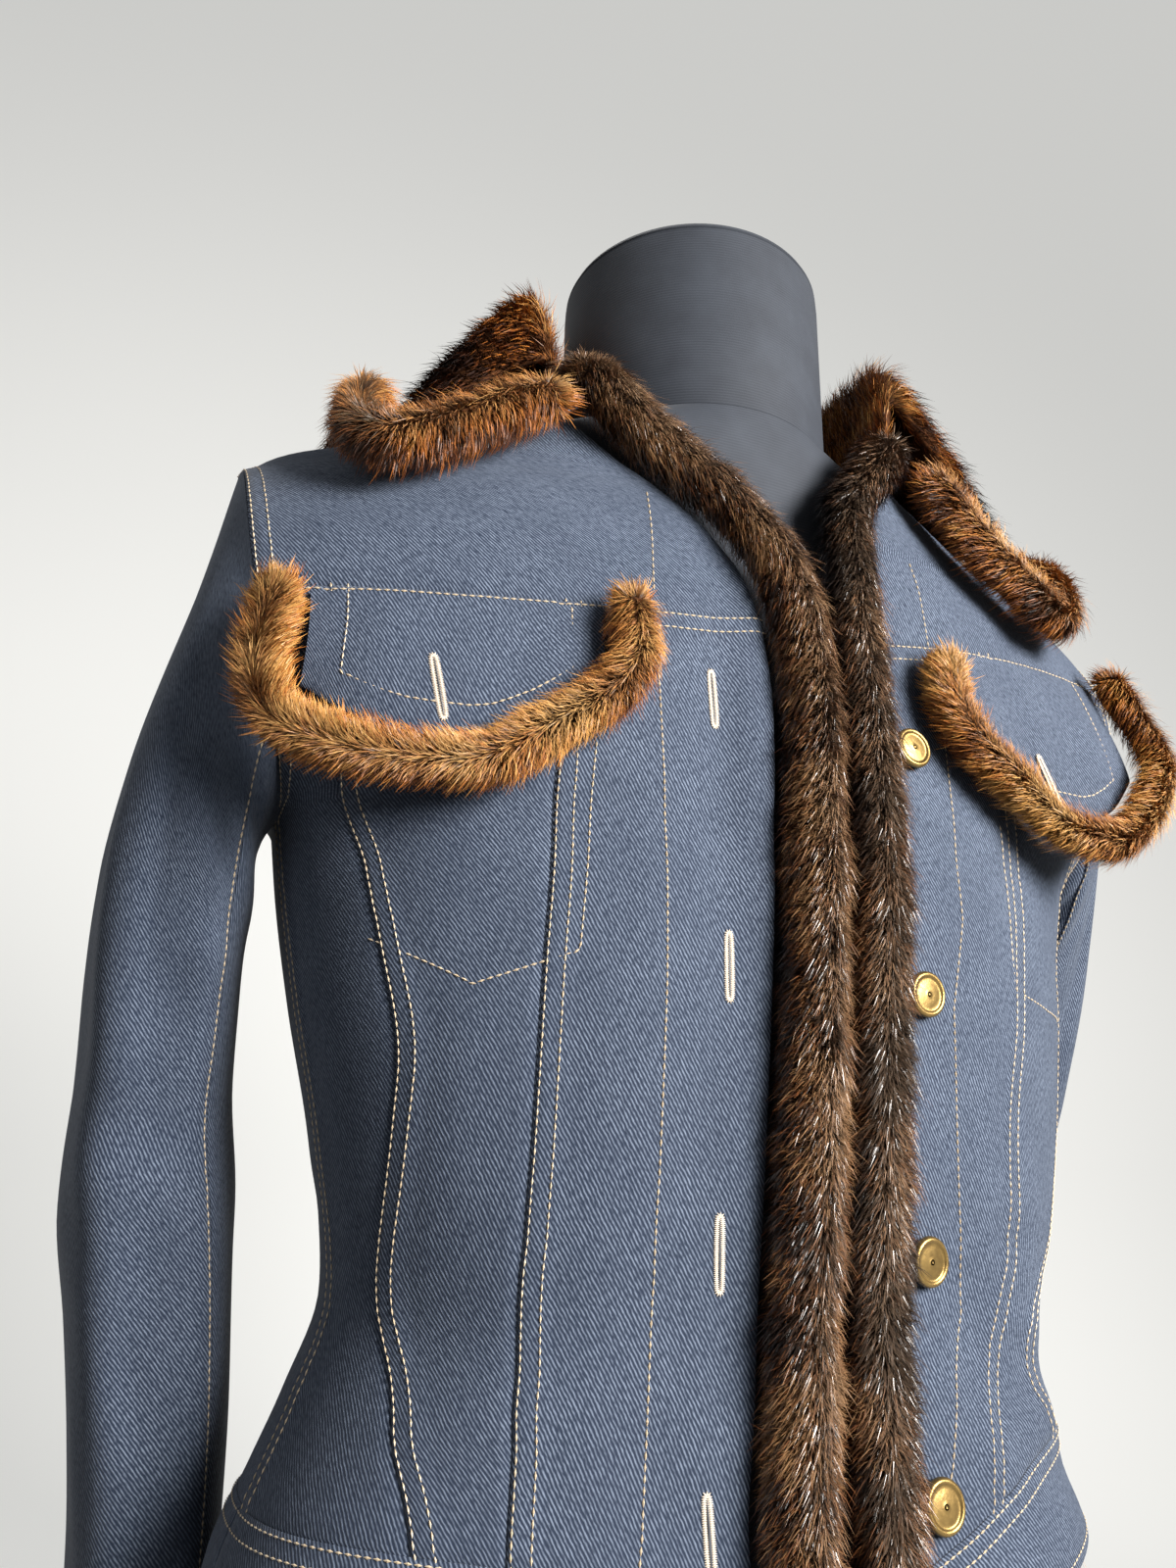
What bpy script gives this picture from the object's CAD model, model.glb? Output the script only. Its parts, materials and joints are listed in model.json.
# %% [markdown]
# # A short denim jacket with fur trim, on a dress form
# The jacket is sewn from indigo twill and trimmed with long pile fur: a collar, a roll of fur down both
# fronts, fur round the pocket flaps and fur cuffs. Each step says what the piece is on the real object,
# how it could be made in Blender, and why this way was chosen.

# %% The frame that carries every piece
import json
import math

import bpy
import numpy as np
from mathutils import Matrix, Vector

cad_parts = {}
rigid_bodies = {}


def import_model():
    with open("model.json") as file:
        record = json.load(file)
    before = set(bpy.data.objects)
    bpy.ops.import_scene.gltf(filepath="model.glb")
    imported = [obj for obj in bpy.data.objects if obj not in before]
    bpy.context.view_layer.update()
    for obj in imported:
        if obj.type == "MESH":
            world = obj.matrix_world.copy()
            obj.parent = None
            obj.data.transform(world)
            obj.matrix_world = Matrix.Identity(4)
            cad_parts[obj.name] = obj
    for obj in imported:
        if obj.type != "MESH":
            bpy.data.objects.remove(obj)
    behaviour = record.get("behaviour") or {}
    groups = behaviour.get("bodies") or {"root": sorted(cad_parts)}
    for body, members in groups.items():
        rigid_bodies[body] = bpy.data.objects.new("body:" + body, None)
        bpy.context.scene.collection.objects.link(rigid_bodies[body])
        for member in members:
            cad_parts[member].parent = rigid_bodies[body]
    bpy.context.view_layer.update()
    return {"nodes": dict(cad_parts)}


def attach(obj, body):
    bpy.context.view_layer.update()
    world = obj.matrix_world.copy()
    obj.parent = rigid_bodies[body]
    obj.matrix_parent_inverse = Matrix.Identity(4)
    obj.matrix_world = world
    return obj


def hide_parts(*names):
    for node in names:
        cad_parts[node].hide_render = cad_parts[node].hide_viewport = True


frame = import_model()
print("nodes in the frame:", len(frame["nodes"]))

# %% [markdown]
# ## The camera
# The photograph was taken from a little below the chest, close by, looking up and to the wearer's left.
# A camera can be placed by eye, but this one is worked out from the photograph: buttons, the neck and
# the hem give its place, and the lens follows from its distance.

# %% Camera
WAIST = 250.0                 # height of the waist above the ground, in mm
CAMERA_PLACE = (-249.1, -437.8, 292.4)
CAMERA_YAW, CAMERA_PITCH, CAMERA_ROLL = (math.radians(a) for a in (23.9, 18.1, 1.0))


def camera_axes(yaw, pitch, roll):
    ahead = np.array([math.sin(yaw) * math.cos(pitch), math.cos(yaw) * math.cos(pitch), math.sin(pitch)])
    level = np.array([math.cos(yaw), -math.sin(yaw), 0.0])
    rise = np.cross(level, ahead)
    across = level * math.cos(roll) + rise * math.sin(roll)
    up = rise * math.cos(roll) - level * math.sin(roll)
    return across, up, -ahead


camera = bpy.data.objects.new("camera", bpy.data.cameras.new("camera"))
bpy.context.scene.collection.objects.link(camera)
bpy.context.scene.camera = camera
camera.data.sensor_width = 36.0
camera.data.lens = 36.0 * 1202 / 1600
across, up, back = camera_axes(CAMERA_YAW, CAMERA_PITCH, CAMERA_ROLL)
matrix = np.eye(4)
matrix[:3, 0], matrix[:3, 1], matrix[:3, 2] = across, up, back
matrix[:3, 3] = np.array(CAMERA_PLACE) / 1000
camera.matrix_world = Matrix(matrix.tolist())
camera.data.clip_start = 0.01
print("lens in mm:", round(camera.data.lens, 2))

# %% [markdown]
# ## Node helpers
# Materials and Geometry Nodes are both trees of nodes. Two short helpers make a node with its settings,
# its numbers and its links in one call, so that a tree reads from top to bottom.

# %% Node helpers
def node(tree, kind, settings=None, values=None, links=None):
    made = tree.nodes.new(kind)
    for name, value in (settings or {}).items():
        setattr(made, name, value)
    for name, value in (values or {}).items():
        made.inputs[name].default_value = value
    for name, socket in (links or {}).items():
        tree.links.new(socket, made.inputs[name])
    return made


def new_material(name):
    material = bpy.data.materials.new(name)
    material.use_nodes = True
    tree = material.node_tree
    shader = tree.nodes["Principled BSDF"]
    return material, tree, shader


def ramp(tree, factor, stops):
    made = node(tree, "ShaderNodeValToRGB", links={"Fac": factor})
    band = made.color_ramp
    while len(band.elements) < len(stops):
        band.elements.new(0.5)
    for element, (place, colour) in zip(band.elements, stops):
        element.position = place
        element.color = (*colour, 1.0)
    return made.outputs["Color"]


def mixed(tree, factor, first, second):
    made = node(tree, "ShaderNodeMix", {"data_type": "RGBA"})
    for slot, value in ((0, factor), (6, first), (7, second)):
        if isinstance(value, (tuple, float)):
            made.inputs[slot].default_value = (*value, 1.0) if isinstance(value, tuple) else value
        else:
            tree.links.new(value, made.inputs[slot])
    return made.outputs[2]


def noise(tree, vector, scale, detail=2.0, roughness=0.5):
    made = node(tree, "ShaderNodeTexNoise", values={"Scale": scale, "Detail": detail, "Roughness": roughness},
                links={"Vector": vector})
    return made.outputs[0]


def sums(tree, operation, first, second=0.0):
    made = node(tree, "ShaderNodeMath", {"operation": operation})
    for slot, value in ((0, first), (1, second)):
        if isinstance(value, (int, float)):
            made.inputs[slot].default_value = value
        else:
            tree.links.new(value, made.inputs[slot])
    return made.outputs[0]


def bump(tree, shader, height, strength, distance):
    made = node(tree, "ShaderNodeBump", values={"Strength": strength, "Distance": distance},
                links={"Height": height})
    tree.links.new(made.outputs[0], shader.inputs["Normal"])


print("node helpers ready")

# %% [markdown]
# ## Denim
# Denim is a twill: indigo warp threads cross pale weft threads, and the crossings step sideways, so fine
# pale dashes run up in slanting lines. An image could show that, but a tree of nodes keeps it sharp at any
# distance. Each piece carries a flat map in metres, and a wave across that map gives the slanting lines.
# Noise drawn out along the lines breaks them into single threads, and a coarser noise fades the dye.

# %% Denim, right side and wrong side
TWILL_PITCH = 0.00125         # metres from one slanting line to the next
TWILL_SLANT = math.radians(32)


def denim(name, dark, pale, amount):
    material, tree, shader = new_material(name)
    flat = node(tree, "ShaderNodeUVMap", {"uv_map": "cloth"}).outputs[0]
    turned = node(tree, "ShaderNodeMapping", values={"Rotation": (0, 0, -TWILL_SLANT)},
                  links={"Vector": flat}).outputs[0]
    wave = node(tree, "ShaderNodeTexWave", {"wave_type": "BANDS", "bands_direction": "X"},
                {"Scale": 0.3142 / TWILL_PITCH, "Distortion": 1.6, "Detail": 2.0, "Detail Scale": 1.4},
                {"Vector": turned}).outputs["Fac"]
    drawn = node(tree, "ShaderNodeMapping", values={"Scale": (1100, 420, 1)}, links={"Vector": turned}).outputs[0]
    threads = noise(tree, drawn, 1.0, 1.0)
    fade = noise(tree, flat, 26.0, 3.0, 0.6)
    line = sums(tree, "MULTIPLY", wave, threads)
    shown = ramp(tree, line, [(0.16, (0, 0, 0)), (0.58, (1, 1, 1))])
    weight = sums(tree, "MULTIPLY", sums(tree, "MULTIPLY", shown, amount), sums(tree, "ADD", fade, 0.45))
    tree.links.new(mixed(tree, weight, dark, pale), shader.inputs["Base Color"])
    shader.inputs["Roughness"].default_value = 0.82
    shader.inputs["Specular IOR Level"].default_value = 0.25
    shader.inputs["Sheen Weight"].default_value = 0.12
    shader.inputs["Sheen Roughness"].default_value = 0.5
    bump(tree, shader, line, 0.5, 0.00035)
    return material


denim_face = denim("denim", (0.011, 0.019, 0.039), (0.31, 0.37, 0.48), 0.42)
denim_back = denim("denim_wrong_side", (0.09, 0.11, 0.15), (0.50, 0.53, 0.58), 0.9)
print("twill lines per centimetre:", round(0.01 / TWILL_PITCH, 1))

# %% [markdown]
# ## The surface that the jacket follows
# Every cloth piece lies on one smooth body. It could be sculpted, but the solids of the frame were made
# from a table of rings, so the same table is used here at a finer step, and each piece lands exactly on
# its solid. A ring is an oval given by its half widths and depths, and folds are added in its outward
# direction. All tables are in millimetres, with heights measured from the waist.

# %% Tables of the body
BODY_NAMES = ["at", "halfRight", "halfLeft", "front", "back", "power", "middle"]
BODY = [
    [-140, 188, 158, 96, 124, 2.45, 0], [-110, 184, 153, 94, 122, 2.45, 0], [-80, 179, 148, 91, 117, 2.45, 0],
    [-55, 169, 138, 88, 110, 2.4, 0], [-33, 160, 134, 86.5, 104, 2.4, 0], [0, 150, 144, 85, 97, 2.4, 0],
    [50, 158, 156, 88, 100, 2.4, 1], [100, 170, 166, 91, 108, 2.4, 3], [140, 178, 173, 93, 115, 2.4, 5],
    [167, 182, 182, 94, 118, 2.4, 8], [200, 190, 190, 91, 119, 2.3, 8], [252, 204, 204, 85, 115, 2.2, 8],
    [285, 210, 210, 83, 108, 2.05, 8], [307, 212, 212, 79, 101, 1.95, 8], [324, 174, 174, 76, 93, 1.9, 7],
    [341, 137, 137, 73, 84, 1.9, 5], [358, 101, 101, 71, 77, 1.9, 4], [372, 76, 76, 69, 72, 1.9, 3],
]
ARM_LOW, ARM_HIGH, ARM_MIDDLE, ARM_FRONT, ARM_BACK, ARM_IN, ARM_OUT, ARM_BOW = 167, 307, 8, 52, 60, 182, 212, 8.5
INNER_SEAM = {
    -1: [[-140, 118], [-64, 110], [11, 105], [110, 104], [187, 101], [260, 99]],
    1: [[-140, 58], [-61, 67], [-38, 72], [-5, 82], [18, 90], [60, 95], [102, 104], [160, 111], [260, 110]],
}
OUTER_SEAM = {
    -1: [[-140, 136], [-64, 135], [-31, 140], [9, 143], [70, 144], [114, 153], [167, 168], [200, 176], [260, 186]],
    1: [[-140, 122], [-64, 116], [-38, 108], [-27, 101], [-15, 100], [1, 109], [15, 122], [40, 138], [70, 148],
        [114, 156], [167, 168], [200, 176], [260, 186]],
}
BACK_SEAM = [[-140, 96], [-60, 88], [0, 76], [110, 88], [200, 102], [270, 112]]
FRONT_EDGE = {
    -1: [[-122, 25], [-67, 24], [-30, 19], [12, 15], [60, 12], [107, 9], [160, 6], [222, 1], [250, 3], [272, 10],
         [292, 24], [308, 41], [322, 58], [336, 71], [350, 80]],
    1: [[-122, 8], [-67, 10], [-30, 12], [12, 14], [60, 17], [107, 21], [160, 25], [205, 27], [230, 28], [250, 28],
        [276, 28], [295, 29], [312, 32], [325, 38], [338, 47], [352, 59]],
}
NECK_EDGE = {
    -1: [[350, 97], [356, 92], [362, 85], [367, 79], [372, 70]],
    1: [[350, 79], [356, 81], [362, 80], [367, 77], [372, 70]],
}

# %% [markdown]
# Large folds are in the solids too. The finer creases are only here: soft drags from the flaps, the
# waist and the armholes, each placed by hand and a little uneven. A row gives a crease's place in degrees
# from the front, its height, half its width in degrees, half its length, its depth (troughs are negative)
# and its lean in degrees for each millimetre up.

# %% Folds and creases of the body
FOLD_GAIN = 1.25              # cloth creases a little deeper than the solids do
BODY_FOLDS = np.array([
    [-13, 190, 6, 85, 2.2, 0.01], [-24, 175, 7, 80, -1.8, 0.02], [-34, -10, 13, 30, -2.2, 0.25],
    [-52, 12, 12, 26, 2.0, 0.3], [-70, -14, 10, 26, -2.4, 0.25], [36, -6, 12, 28, -2.0, -0.25],
    [58, 10, 12, 26, 1.8, -0.3], [74, -20, 10, 24, -2.2, -0.2], [-18, -90, 8, 36, 1.8, -0.12],
    [20, -80, 8, 40, -1.8, 0.1], [128, 2, 14, 22, -2.6, -0.3], [-128, 4, 14, 24, -2.6, 0.3],
    [156, -12, 14, 20, 2.2, 0.2], [-154, -10, 14, 20, 2.2, -0.2], [72, 2, 12, 15, -2.6, 0],
    [64, -42, 13, 14, 3.0, -0.2], [142, 190, 10, 60, 2.0, 0.08], [-142, 190, 10, 60, 2.0, -0.08],
    # creases that only this scene has
    [-30, 60, 5, 40, -0.9, 0.12], [-42, 90, 6, 34, 0.9, 0.16], [-58, 120, 6, 30, -1.1, 0.2],
    [-64, 70, 5, 34, 1.0, 0.1], [-48, 30, 6, 16, -1.0, 0.7], [-60, -30, 7, 12, 1.1, 0.8],
    [-38, -50, 6, 26, -0.9, -0.2], [-22, 30, 4, 46, 0.7, -0.05], [-70, 150, 5, 26, -1.2, 0.35],
    [-62, 235, 6, 18, -0.8, 0.5], [-46, 285, 7, 14, -0.9, -0.6], [-35, 305, 6, 12, 0.7, -0.6],
    [30, 70, 5, 40, -0.9, -0.1], [46, 110, 6, 30, 0.9, -0.18], [60, 60, 6, 26, -1.1, -0.2],
    [50, 20, 7, 12, -1.1, -0.8], [54, -10, 7, 9, 1.2, -0.6], [40, -50, 6, 18, 0.9, -0.3],
    [64, 150, 5, 26, -1.1, -0.3], [34, 290, 6, 16, -0.8, 0.5], [56, 280, 6, 14, 0.8, 0.5],
    [112, 20, 9, 12, -1.3, -0.8], [122, 34, 9, 11, 1.2, -0.8], [150, 16, 12, 9, -1.2, 0.4],
    [168, 4, 12, 8, 1.1, 0.3], [-112, 20, 9, 12, -1.3, 0.8], [-124, 36, 9, 11, 1.2, 0.7],
    [-148, 14, 12, 9, -1.2, -0.4], [-170, 24, 12, 9, -1.0, -0.3], [110, 150, 7, 34, -1.4, -0.25],
    [-110, 148, 7, 34, -1.4, 0.25], [124, 250, 9, 16, -1.0, -0.5], [-126, 248, 9, 16, -1.0, 0.5],
    [176, 130, 8, 60, 0.8, 0.03], [160, 90, 7, 50, -0.8, -0.03], [-162, 96, 7, 50, -0.8, 0.03],
])
print("folds and creases:", len(BODY_FOLDS))

# %% [markdown]
# A smooth curve runs through each column of a table. A plain spline swings past its points, so this one
# limits its slopes, and the ovals never bulge between two rows.

# %% Curves, rings and places
def curve(rows, column=1):
    xs = np.array([row[0] for row in rows], float)
    ys = np.array([row[column] for row in rows], float)
    slopes = np.diff(ys) / np.diff(xs)
    before, after = slopes[:-1], slopes[1:]
    turns = before * after <= 0
    inner = np.where(turns, 0, 2 * before * after / np.where(turns, 1, before + after))
    tangents = np.concatenate([slopes[:1], inner, slopes[-1:]])

    def value(x):
        x = np.asarray(x, float)
        k = np.clip(np.searchsorted(xs, x, side="left") - 1, 0, len(xs) - 2)
        span = xs[k + 1] - xs[k]
        t = (x - xs[k]) / span
        rise = span * (tangents[k] * t * (1 - t) ** 2 - tangents[k + 1] * t * t * (1 - t))
        within = ys[k] * (1 + 2 * t) * (1 - t) ** 2 + ys[k + 1] * t * t * (3 - 2 * t) + rise
        low, high = ys[0] + slopes[0] * (x - xs[0]), ys[-1] + slopes[-1] * (x - xs[-1])
        return np.where(x <= xs[0], low, np.where(x >= xs[-1], high, within))

    return value


def curves(names, rows):
    return {name: curve(rows, k) for k, name in enumerate(names) if k > 0}


BODY_CURVES = curves(BODY_NAMES, BODY)


def body_ring(at):
    return {name: value(at) for name, value in BODY_CURVES.items()}


def armhole(at):
    middle = (ARM_HIGH + ARM_LOW) / 2
    cos = np.clip((at - middle) / (ARM_HIGH - middle), -1, 1)
    sin = np.sqrt(1 - cos * cos)
    x = (ARM_IN + ARM_OUT) / 2 + cos * (ARM_OUT - ARM_IN) / 2 + ARM_BOW * sin * sin
    return x, ARM_MIDDLE - ARM_FRONT * sin, ARM_MIDDLE + ARM_BACK * sin


def body_half(at, ring, left, behind):
    x, front, rear = armhole(at)
    reach = np.where(behind, (rear - ring["middle"]) / ring["back"], (ring["middle"] - front) / ring["front"])
    share = np.clip(reach, 0, 0.96) ** ring["power"]
    plain = np.where(left, ring["halfLeft"], ring["halfRight"])
    return np.where((at > ARM_LOW) & (at < ARM_HIGH), x / (1 - share) ** (1 / ring["power"]), plain)


def ring_point(half, front, rear, power, middle, angle, at):
    sin, cos = np.sin(angle), np.cos(angle)
    depth = np.where(cos > 0, front, rear)
    reach = ((np.abs(sin) / half) ** power + (np.abs(cos) / depth) ** power) ** (-1 / power)
    return np.stack(np.broadcast_arrays(reach * sin, middle - reach * cos, at), -1)


def fold_depth(folds, angle, place):
    degrees = np.degrees(angle)
    total = np.zeros(np.broadcast(degrees, place).shape)
    for where, centre, wide, long, depth, lean in folds:
        along = place - centre
        turn = degrees - where - lean * along
        turn = turn - 360 * np.round(turn / 360)
        total += depth * np.exp(-((turn / wide) ** 2) - (along / long) ** 2)
    return total


def body_point(angle, at):
    angle, at = np.broadcast_arrays(np.asarray(angle, float), np.asarray(at, float))
    ring = body_ring(at)
    half = body_half(at, ring, np.sin(angle) > 0, np.cos(angle) < 0)
    point = ring_point(half, ring["front"], ring["back"], ring["power"], ring["middle"], angle, at)
    out = np.stack([np.sin(angle), -np.cos(angle), np.zeros_like(at)], -1)
    return point + out * FOLD_GAIN * fold_depth(BODY_FOLDS, angle, at)[..., None]


def unit(vectors):
    return vectors / np.maximum(np.linalg.norm(vectors, axis=-1, keepdims=True), 1e-9)


def place_on(surface, u, v, step=0.01):
    across = surface(u + step, v) - surface(u - step, v)
    up = surface(u, v + 1) - surface(u, v - 1)
    return surface(u, v), unit(np.cross(across, up))


def body_place(angle, at):
    return place_on(body_point, np.asarray(angle, float), np.asarray(at, float))


def angle_of(x, at, behind=False):
    x, at = np.broadcast_arrays(np.asarray(x, float), np.asarray(at, float))
    ring = body_ring(at)
    half = body_half(at, ring, x > 0, np.full(x.shape, behind))
    share = np.minimum(1, np.abs(x) / half) ** ring["power"]
    depth = (ring["back"] if behind else ring["front"]) * (1 - share) ** (1 / ring["power"])
    return np.arctan2(x, -depth if behind else depth)


def shifted(angle, at, distance):
    stretch = np.linalg.norm(body_point(angle + 0.01, at) - body_point(angle - 0.01, at), axis=-1) / 0.02
    return angle + distance / stretch


print("front of the waist:", body_point(0.0, 0.0).round(1))

# %% [markdown]
# ## Making a cloth wall
# Cloth is a thin closed wall. Solidify could give a flat sheet its thickness, but building both skins
# directly lets the outer one rise over a sewn seam while the inner one stays smooth.

# %% Mesh helpers
def metres(points):
    made = np.asarray(points, float).reshape(-1, 3) / 1000
    made[:, 2] += WAIST / 1000
    return made


def make_mesh(name, points, faces, materials, face_material=None, flat=None, numbers=None, sharp=None):
    mesh = bpy.data.meshes.new(name)
    mesh.from_pydata(metres(points).tolist(), [], [list(map(int, face)) for face in faces])
    for material in materials:
        mesh.materials.append(material)
    if face_material is not None:
        mesh.polygons.foreach_set("material_index", np.asarray(face_material, np.int32))
    if flat is not None:
        corners = np.zeros(len(mesh.loops), np.int32)
        mesh.loops.foreach_get("vertex_index", corners)
        layer = mesh.uv_layers.new(name="cloth")
        layer.data.foreach_set("uv", (np.asarray(flat).reshape(-1, 2)[corners] / 1000).astype(np.float32).ravel())
    for label, values in (numbers or {}).items():
        values = np.asarray(values, np.float32)
        kind = "FLOAT_VECTOR" if values.ndim == 2 else "FLOAT"
        held = mesh.attributes.new(label, kind, "POINT")
        held.data.foreach_set("vector" if values.ndim == 2 else "value", values.ravel())
    mesh.polygons.foreach_set("use_smooth", np.ones(len(mesh.polygons), bool))
    if sharp:
        mesh.set_sharp_from_angle(angle=math.radians(sharp))
    mesh.update()
    made = bpy.data.objects.new(name, mesh)
    bpy.context.scene.collection.objects.link(made)
    return made


def grid_faces(rows, cols, round_rows=False, round_cols=False):
    i, j = np.meshgrid(np.arange(rows - (not round_rows)), np.arange(cols - (not round_cols)), indexing="ij")
    i, j = i.ravel(), j.ravel()
    up, on = (i + 1) % rows, (j + 1) % cols
    return np.stack([i * cols + j, i * cols + on, up * cols + on, up * cols + j], -1)


def wall_faces(rows, cols, round_cols=False):
    far = rows * cols
    outer = grid_faces(rows, cols, round_cols=round_cols)
    rims = []
    for line in (np.arange(cols)[::-1], far - cols + np.arange(cols)):
        ends = np.stack([line, np.roll(line, -1)], -1)
        rims.append(ends if round_cols else ends[:-1])
    if not round_cols:
        rims += [np.stack([line[:-1], line[1:]], -1) for line in (
            np.arange(rows) * cols, (np.arange(rows) * cols + cols - 1)[::-1])]
    rims = np.concatenate(rims)
    rim = np.stack([rims[:, 0], rims[:, 1], rims[:, 1] + far, rims[:, 0] + far], -1)
    faces = np.concatenate([outer, outer[:, ::-1] + far, rim])
    return faces, np.concatenate([np.zeros(len(outer)), np.ones(len(outer)), np.zeros(len(rim))])


def lengths(grid, axis):
    step = np.linalg.norm(np.diff(grid, axis=axis), axis=-1)
    first = np.zeros_like(np.take(step, [0], axis=axis))
    return np.cumsum(np.concatenate([first, step], axis=axis), axis=axis)


def quad_area(grid):
    a, b, c, d = grid[:-1, :-1], grid[:-1, 1:], grid[1:, 1:], grid[1:, :-1]
    return (np.linalg.norm(np.cross(c - a, d - b), axis=-1) / 2).sum()


def declare_cut(grid):
    width = float(lengths(grid, 1)[:, -1].max()) / 1000
    length = float(lengths(grid, 0)[-1].max()) / 1000
    area = min(quad_area(grid) / 1e6, width * length)


def cloth_wall(name, outer, inner, materials=None, round_cols=False, node_name=None):
    rows, cols = outer.shape[:2]
    faces, sides = wall_faces(rows, cols, round_cols)
    across = lengths(outer, 1)
    across = across - across[:, cols // 2][:, None]
    flat = np.stack([across, lengths(outer, 0)[:, cols // 2][:, None] + np.zeros_like(across)], -1)
    piece = make_mesh(f"{name}_cloth", np.concatenate([outer.reshape(-1, 3), inner.reshape(-1, 3)]), faces,
                      materials or [denim_face, denim_back], sides, np.concatenate([flat, flat]), sharp=50)
    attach(piece, "root")
    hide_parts(node_name or name)
    declare_cut(outer)
    return piece


print("mesh helpers ready")

# %% [markdown]
# ## The body panels
# The jacket's fronts and back are cut from long panels, as on the real one: their seams shape the waist.
# One large mesh with drawn lines would be quicker, but separate panels leave a true seam between them.
# Each seam is felled: on one side the cloth is doubled over for 9 mm and rises a little, with small
# puckers where the thread pulls it.

# %% Edges and levels of the panels
DENIM = 1.7                   # wall of one layer
SEAM_GAP = 0.04
YOKE_FRONT, YOKE_BACK, NECKLINE = 247.0, 262.0, 371.0
PANEL_FOOT, FOOT_TOP = -70.0, 9.0
BAND_DEPTH, BAND_WALL = 38.0, 2.6
FRONT_FUR, FRONT_FUR_OUT, NECK_LIFT = 13.5, 5.0, 4.5
YOKE_ENDS = {-1: (254.0, 238.0), 1: (243.0, 271.0)}
ARM_TURN = 74.0


def band_seam(angle):
    return -52.5 + 9.5 * np.sin(angle) - 32 * np.maximum(0, np.cos(angle)) ** 3


def yoke_seam(angle):
    left = np.asarray(angle) > 0
    front = np.where(left, YOKE_ENDS[1][0], YOKE_ENDS[-1][0])
    arm = np.where(left, YOKE_ENDS[1][1], YOKE_ENDS[-1][1])
    return front + (arm - front) * np.minimum(1, np.abs(np.degrees(angle)) / ARM_TURN)


def over_band(angle, height):
    foot = band_seam(angle) + SEAM_GAP / 2
    share = (height - PANEL_FOOT) / (FOOT_TOP - PANEL_FOOT)
    return np.where(height < FOOT_TOP, foot + (FOOT_TOP - foot) * share, height)


def under_yoke(angle, height):
    share = np.clip((height - ARM_LOW) / (YOKE_FRONT - ARM_LOW), 0, None)
    return over_band(angle, height) + (yoke_seam(angle) - YOKE_FRONT) * share


def over_yoke(angle, height):
    share = np.clip((ARM_HIGH - height) / (ARM_HIGH - YOKE_FRONT), 0, None)
    return height + (yoke_seam(angle) - YOKE_FRONT) * share


def level_rows(angle, height):
    return height + 0 * angle


def in_band(angle, share):
    return band_seam(angle) - SEAM_GAP / 2 - BAND_DEPTH * (1 - share)


def seam_edge(rows, side, flank, behind=False):
    x = curve(rows)
    return lambda at: shifted(angle_of(side * x(at), at, behind), at, flank * SEAM_GAP / 2)


def side_edge(side, behind, turns=0.0):
    def edge(at):
        plain = shifted(side * np.pi / 2 + 0 * at, at, (1 if behind else -1) * side * SEAM_GAP / 2)
        x, front, rear = armhole(at)
        depth = rear if behind else front
        open_angle = np.arctan2(side * x, body_ring(at)["middle"] - depth)
        return turns + np.where((at > ARM_LOW + 0.01) & (at < ARM_HIGH - 0.01), open_angle, plain)
    return edge


def front_edge(side):
    x, neck = curve(FRONT_EDGE[side]), curve(NECK_EDGE[side])
    clear = math.sqrt(FRONT_FUR ** 2 - FRONT_FUR_OUT ** 2) + 0.6

    def edge(at):
        slope = (x(at + 1) - x(at - 1)) / 2
        beside = x(at) + clear * np.hypot(1, slope)
        return angle_of(side * np.where(at > 350, neck(at), beside), at)
    return edge


def meet(edge, height, level):
    at = np.asarray(height, float)
    for _ in range(5):
        at = level(edge(at), height)
    return edge(at)


print("yoke seam on the right:", float(yoke_seam(-0.5)))

# %% Panels
FELL = 9.0                    # width of a felled seam
FELL_RISE = 0.55              # how far it stands up
PUCKER = 0.16
panels = {}
felled_edges = []


def steps(total, first, last, spacing):
    """Places from 0 to total, closer together beside a felled seam."""
    fine = [0, 1.0, 2.6, 7.4, 9.2, 10.6]
    near = fine if first else [0, 1.0]
    far = fine if last else [0, 1.0]
    if near[-1] + far[-1] > 0.8 * total:
        return np.linspace(0, total, max(3, round(total / spacing * 1.6) + 1))
    middle = np.linspace(near[-1], total - far[-1], max(2, round((total - near[-1] - far[-1]) / spacing) + 1))
    return np.concatenate([near[:-1], middle, total - np.array(far[:-1])[::-1]])


def fell(distance, along):
    rise = np.clip(distance / 0.9, 0, 1) * np.clip((FELL + 1.2 - distance) / 1.6, 0, 1)
    wave = np.sin(along / 1.75 + 1.3 * np.sin(along / 23)) * (0.6 + 0.4 * np.sin(along / 31 + 1))
    return FELL_RISE * rise + PUCKER * wave * np.exp(-(((distance - 5) / 7) ** 2))


def edge_distances(base):
    across, along = lengths(base, 1), lengths(base, 0)
    return {"left": (across, along), "right": (across[:, -1:] - across, along),
            "bottom": (along, across), "top": (along[-1:] - along, across)}


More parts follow.
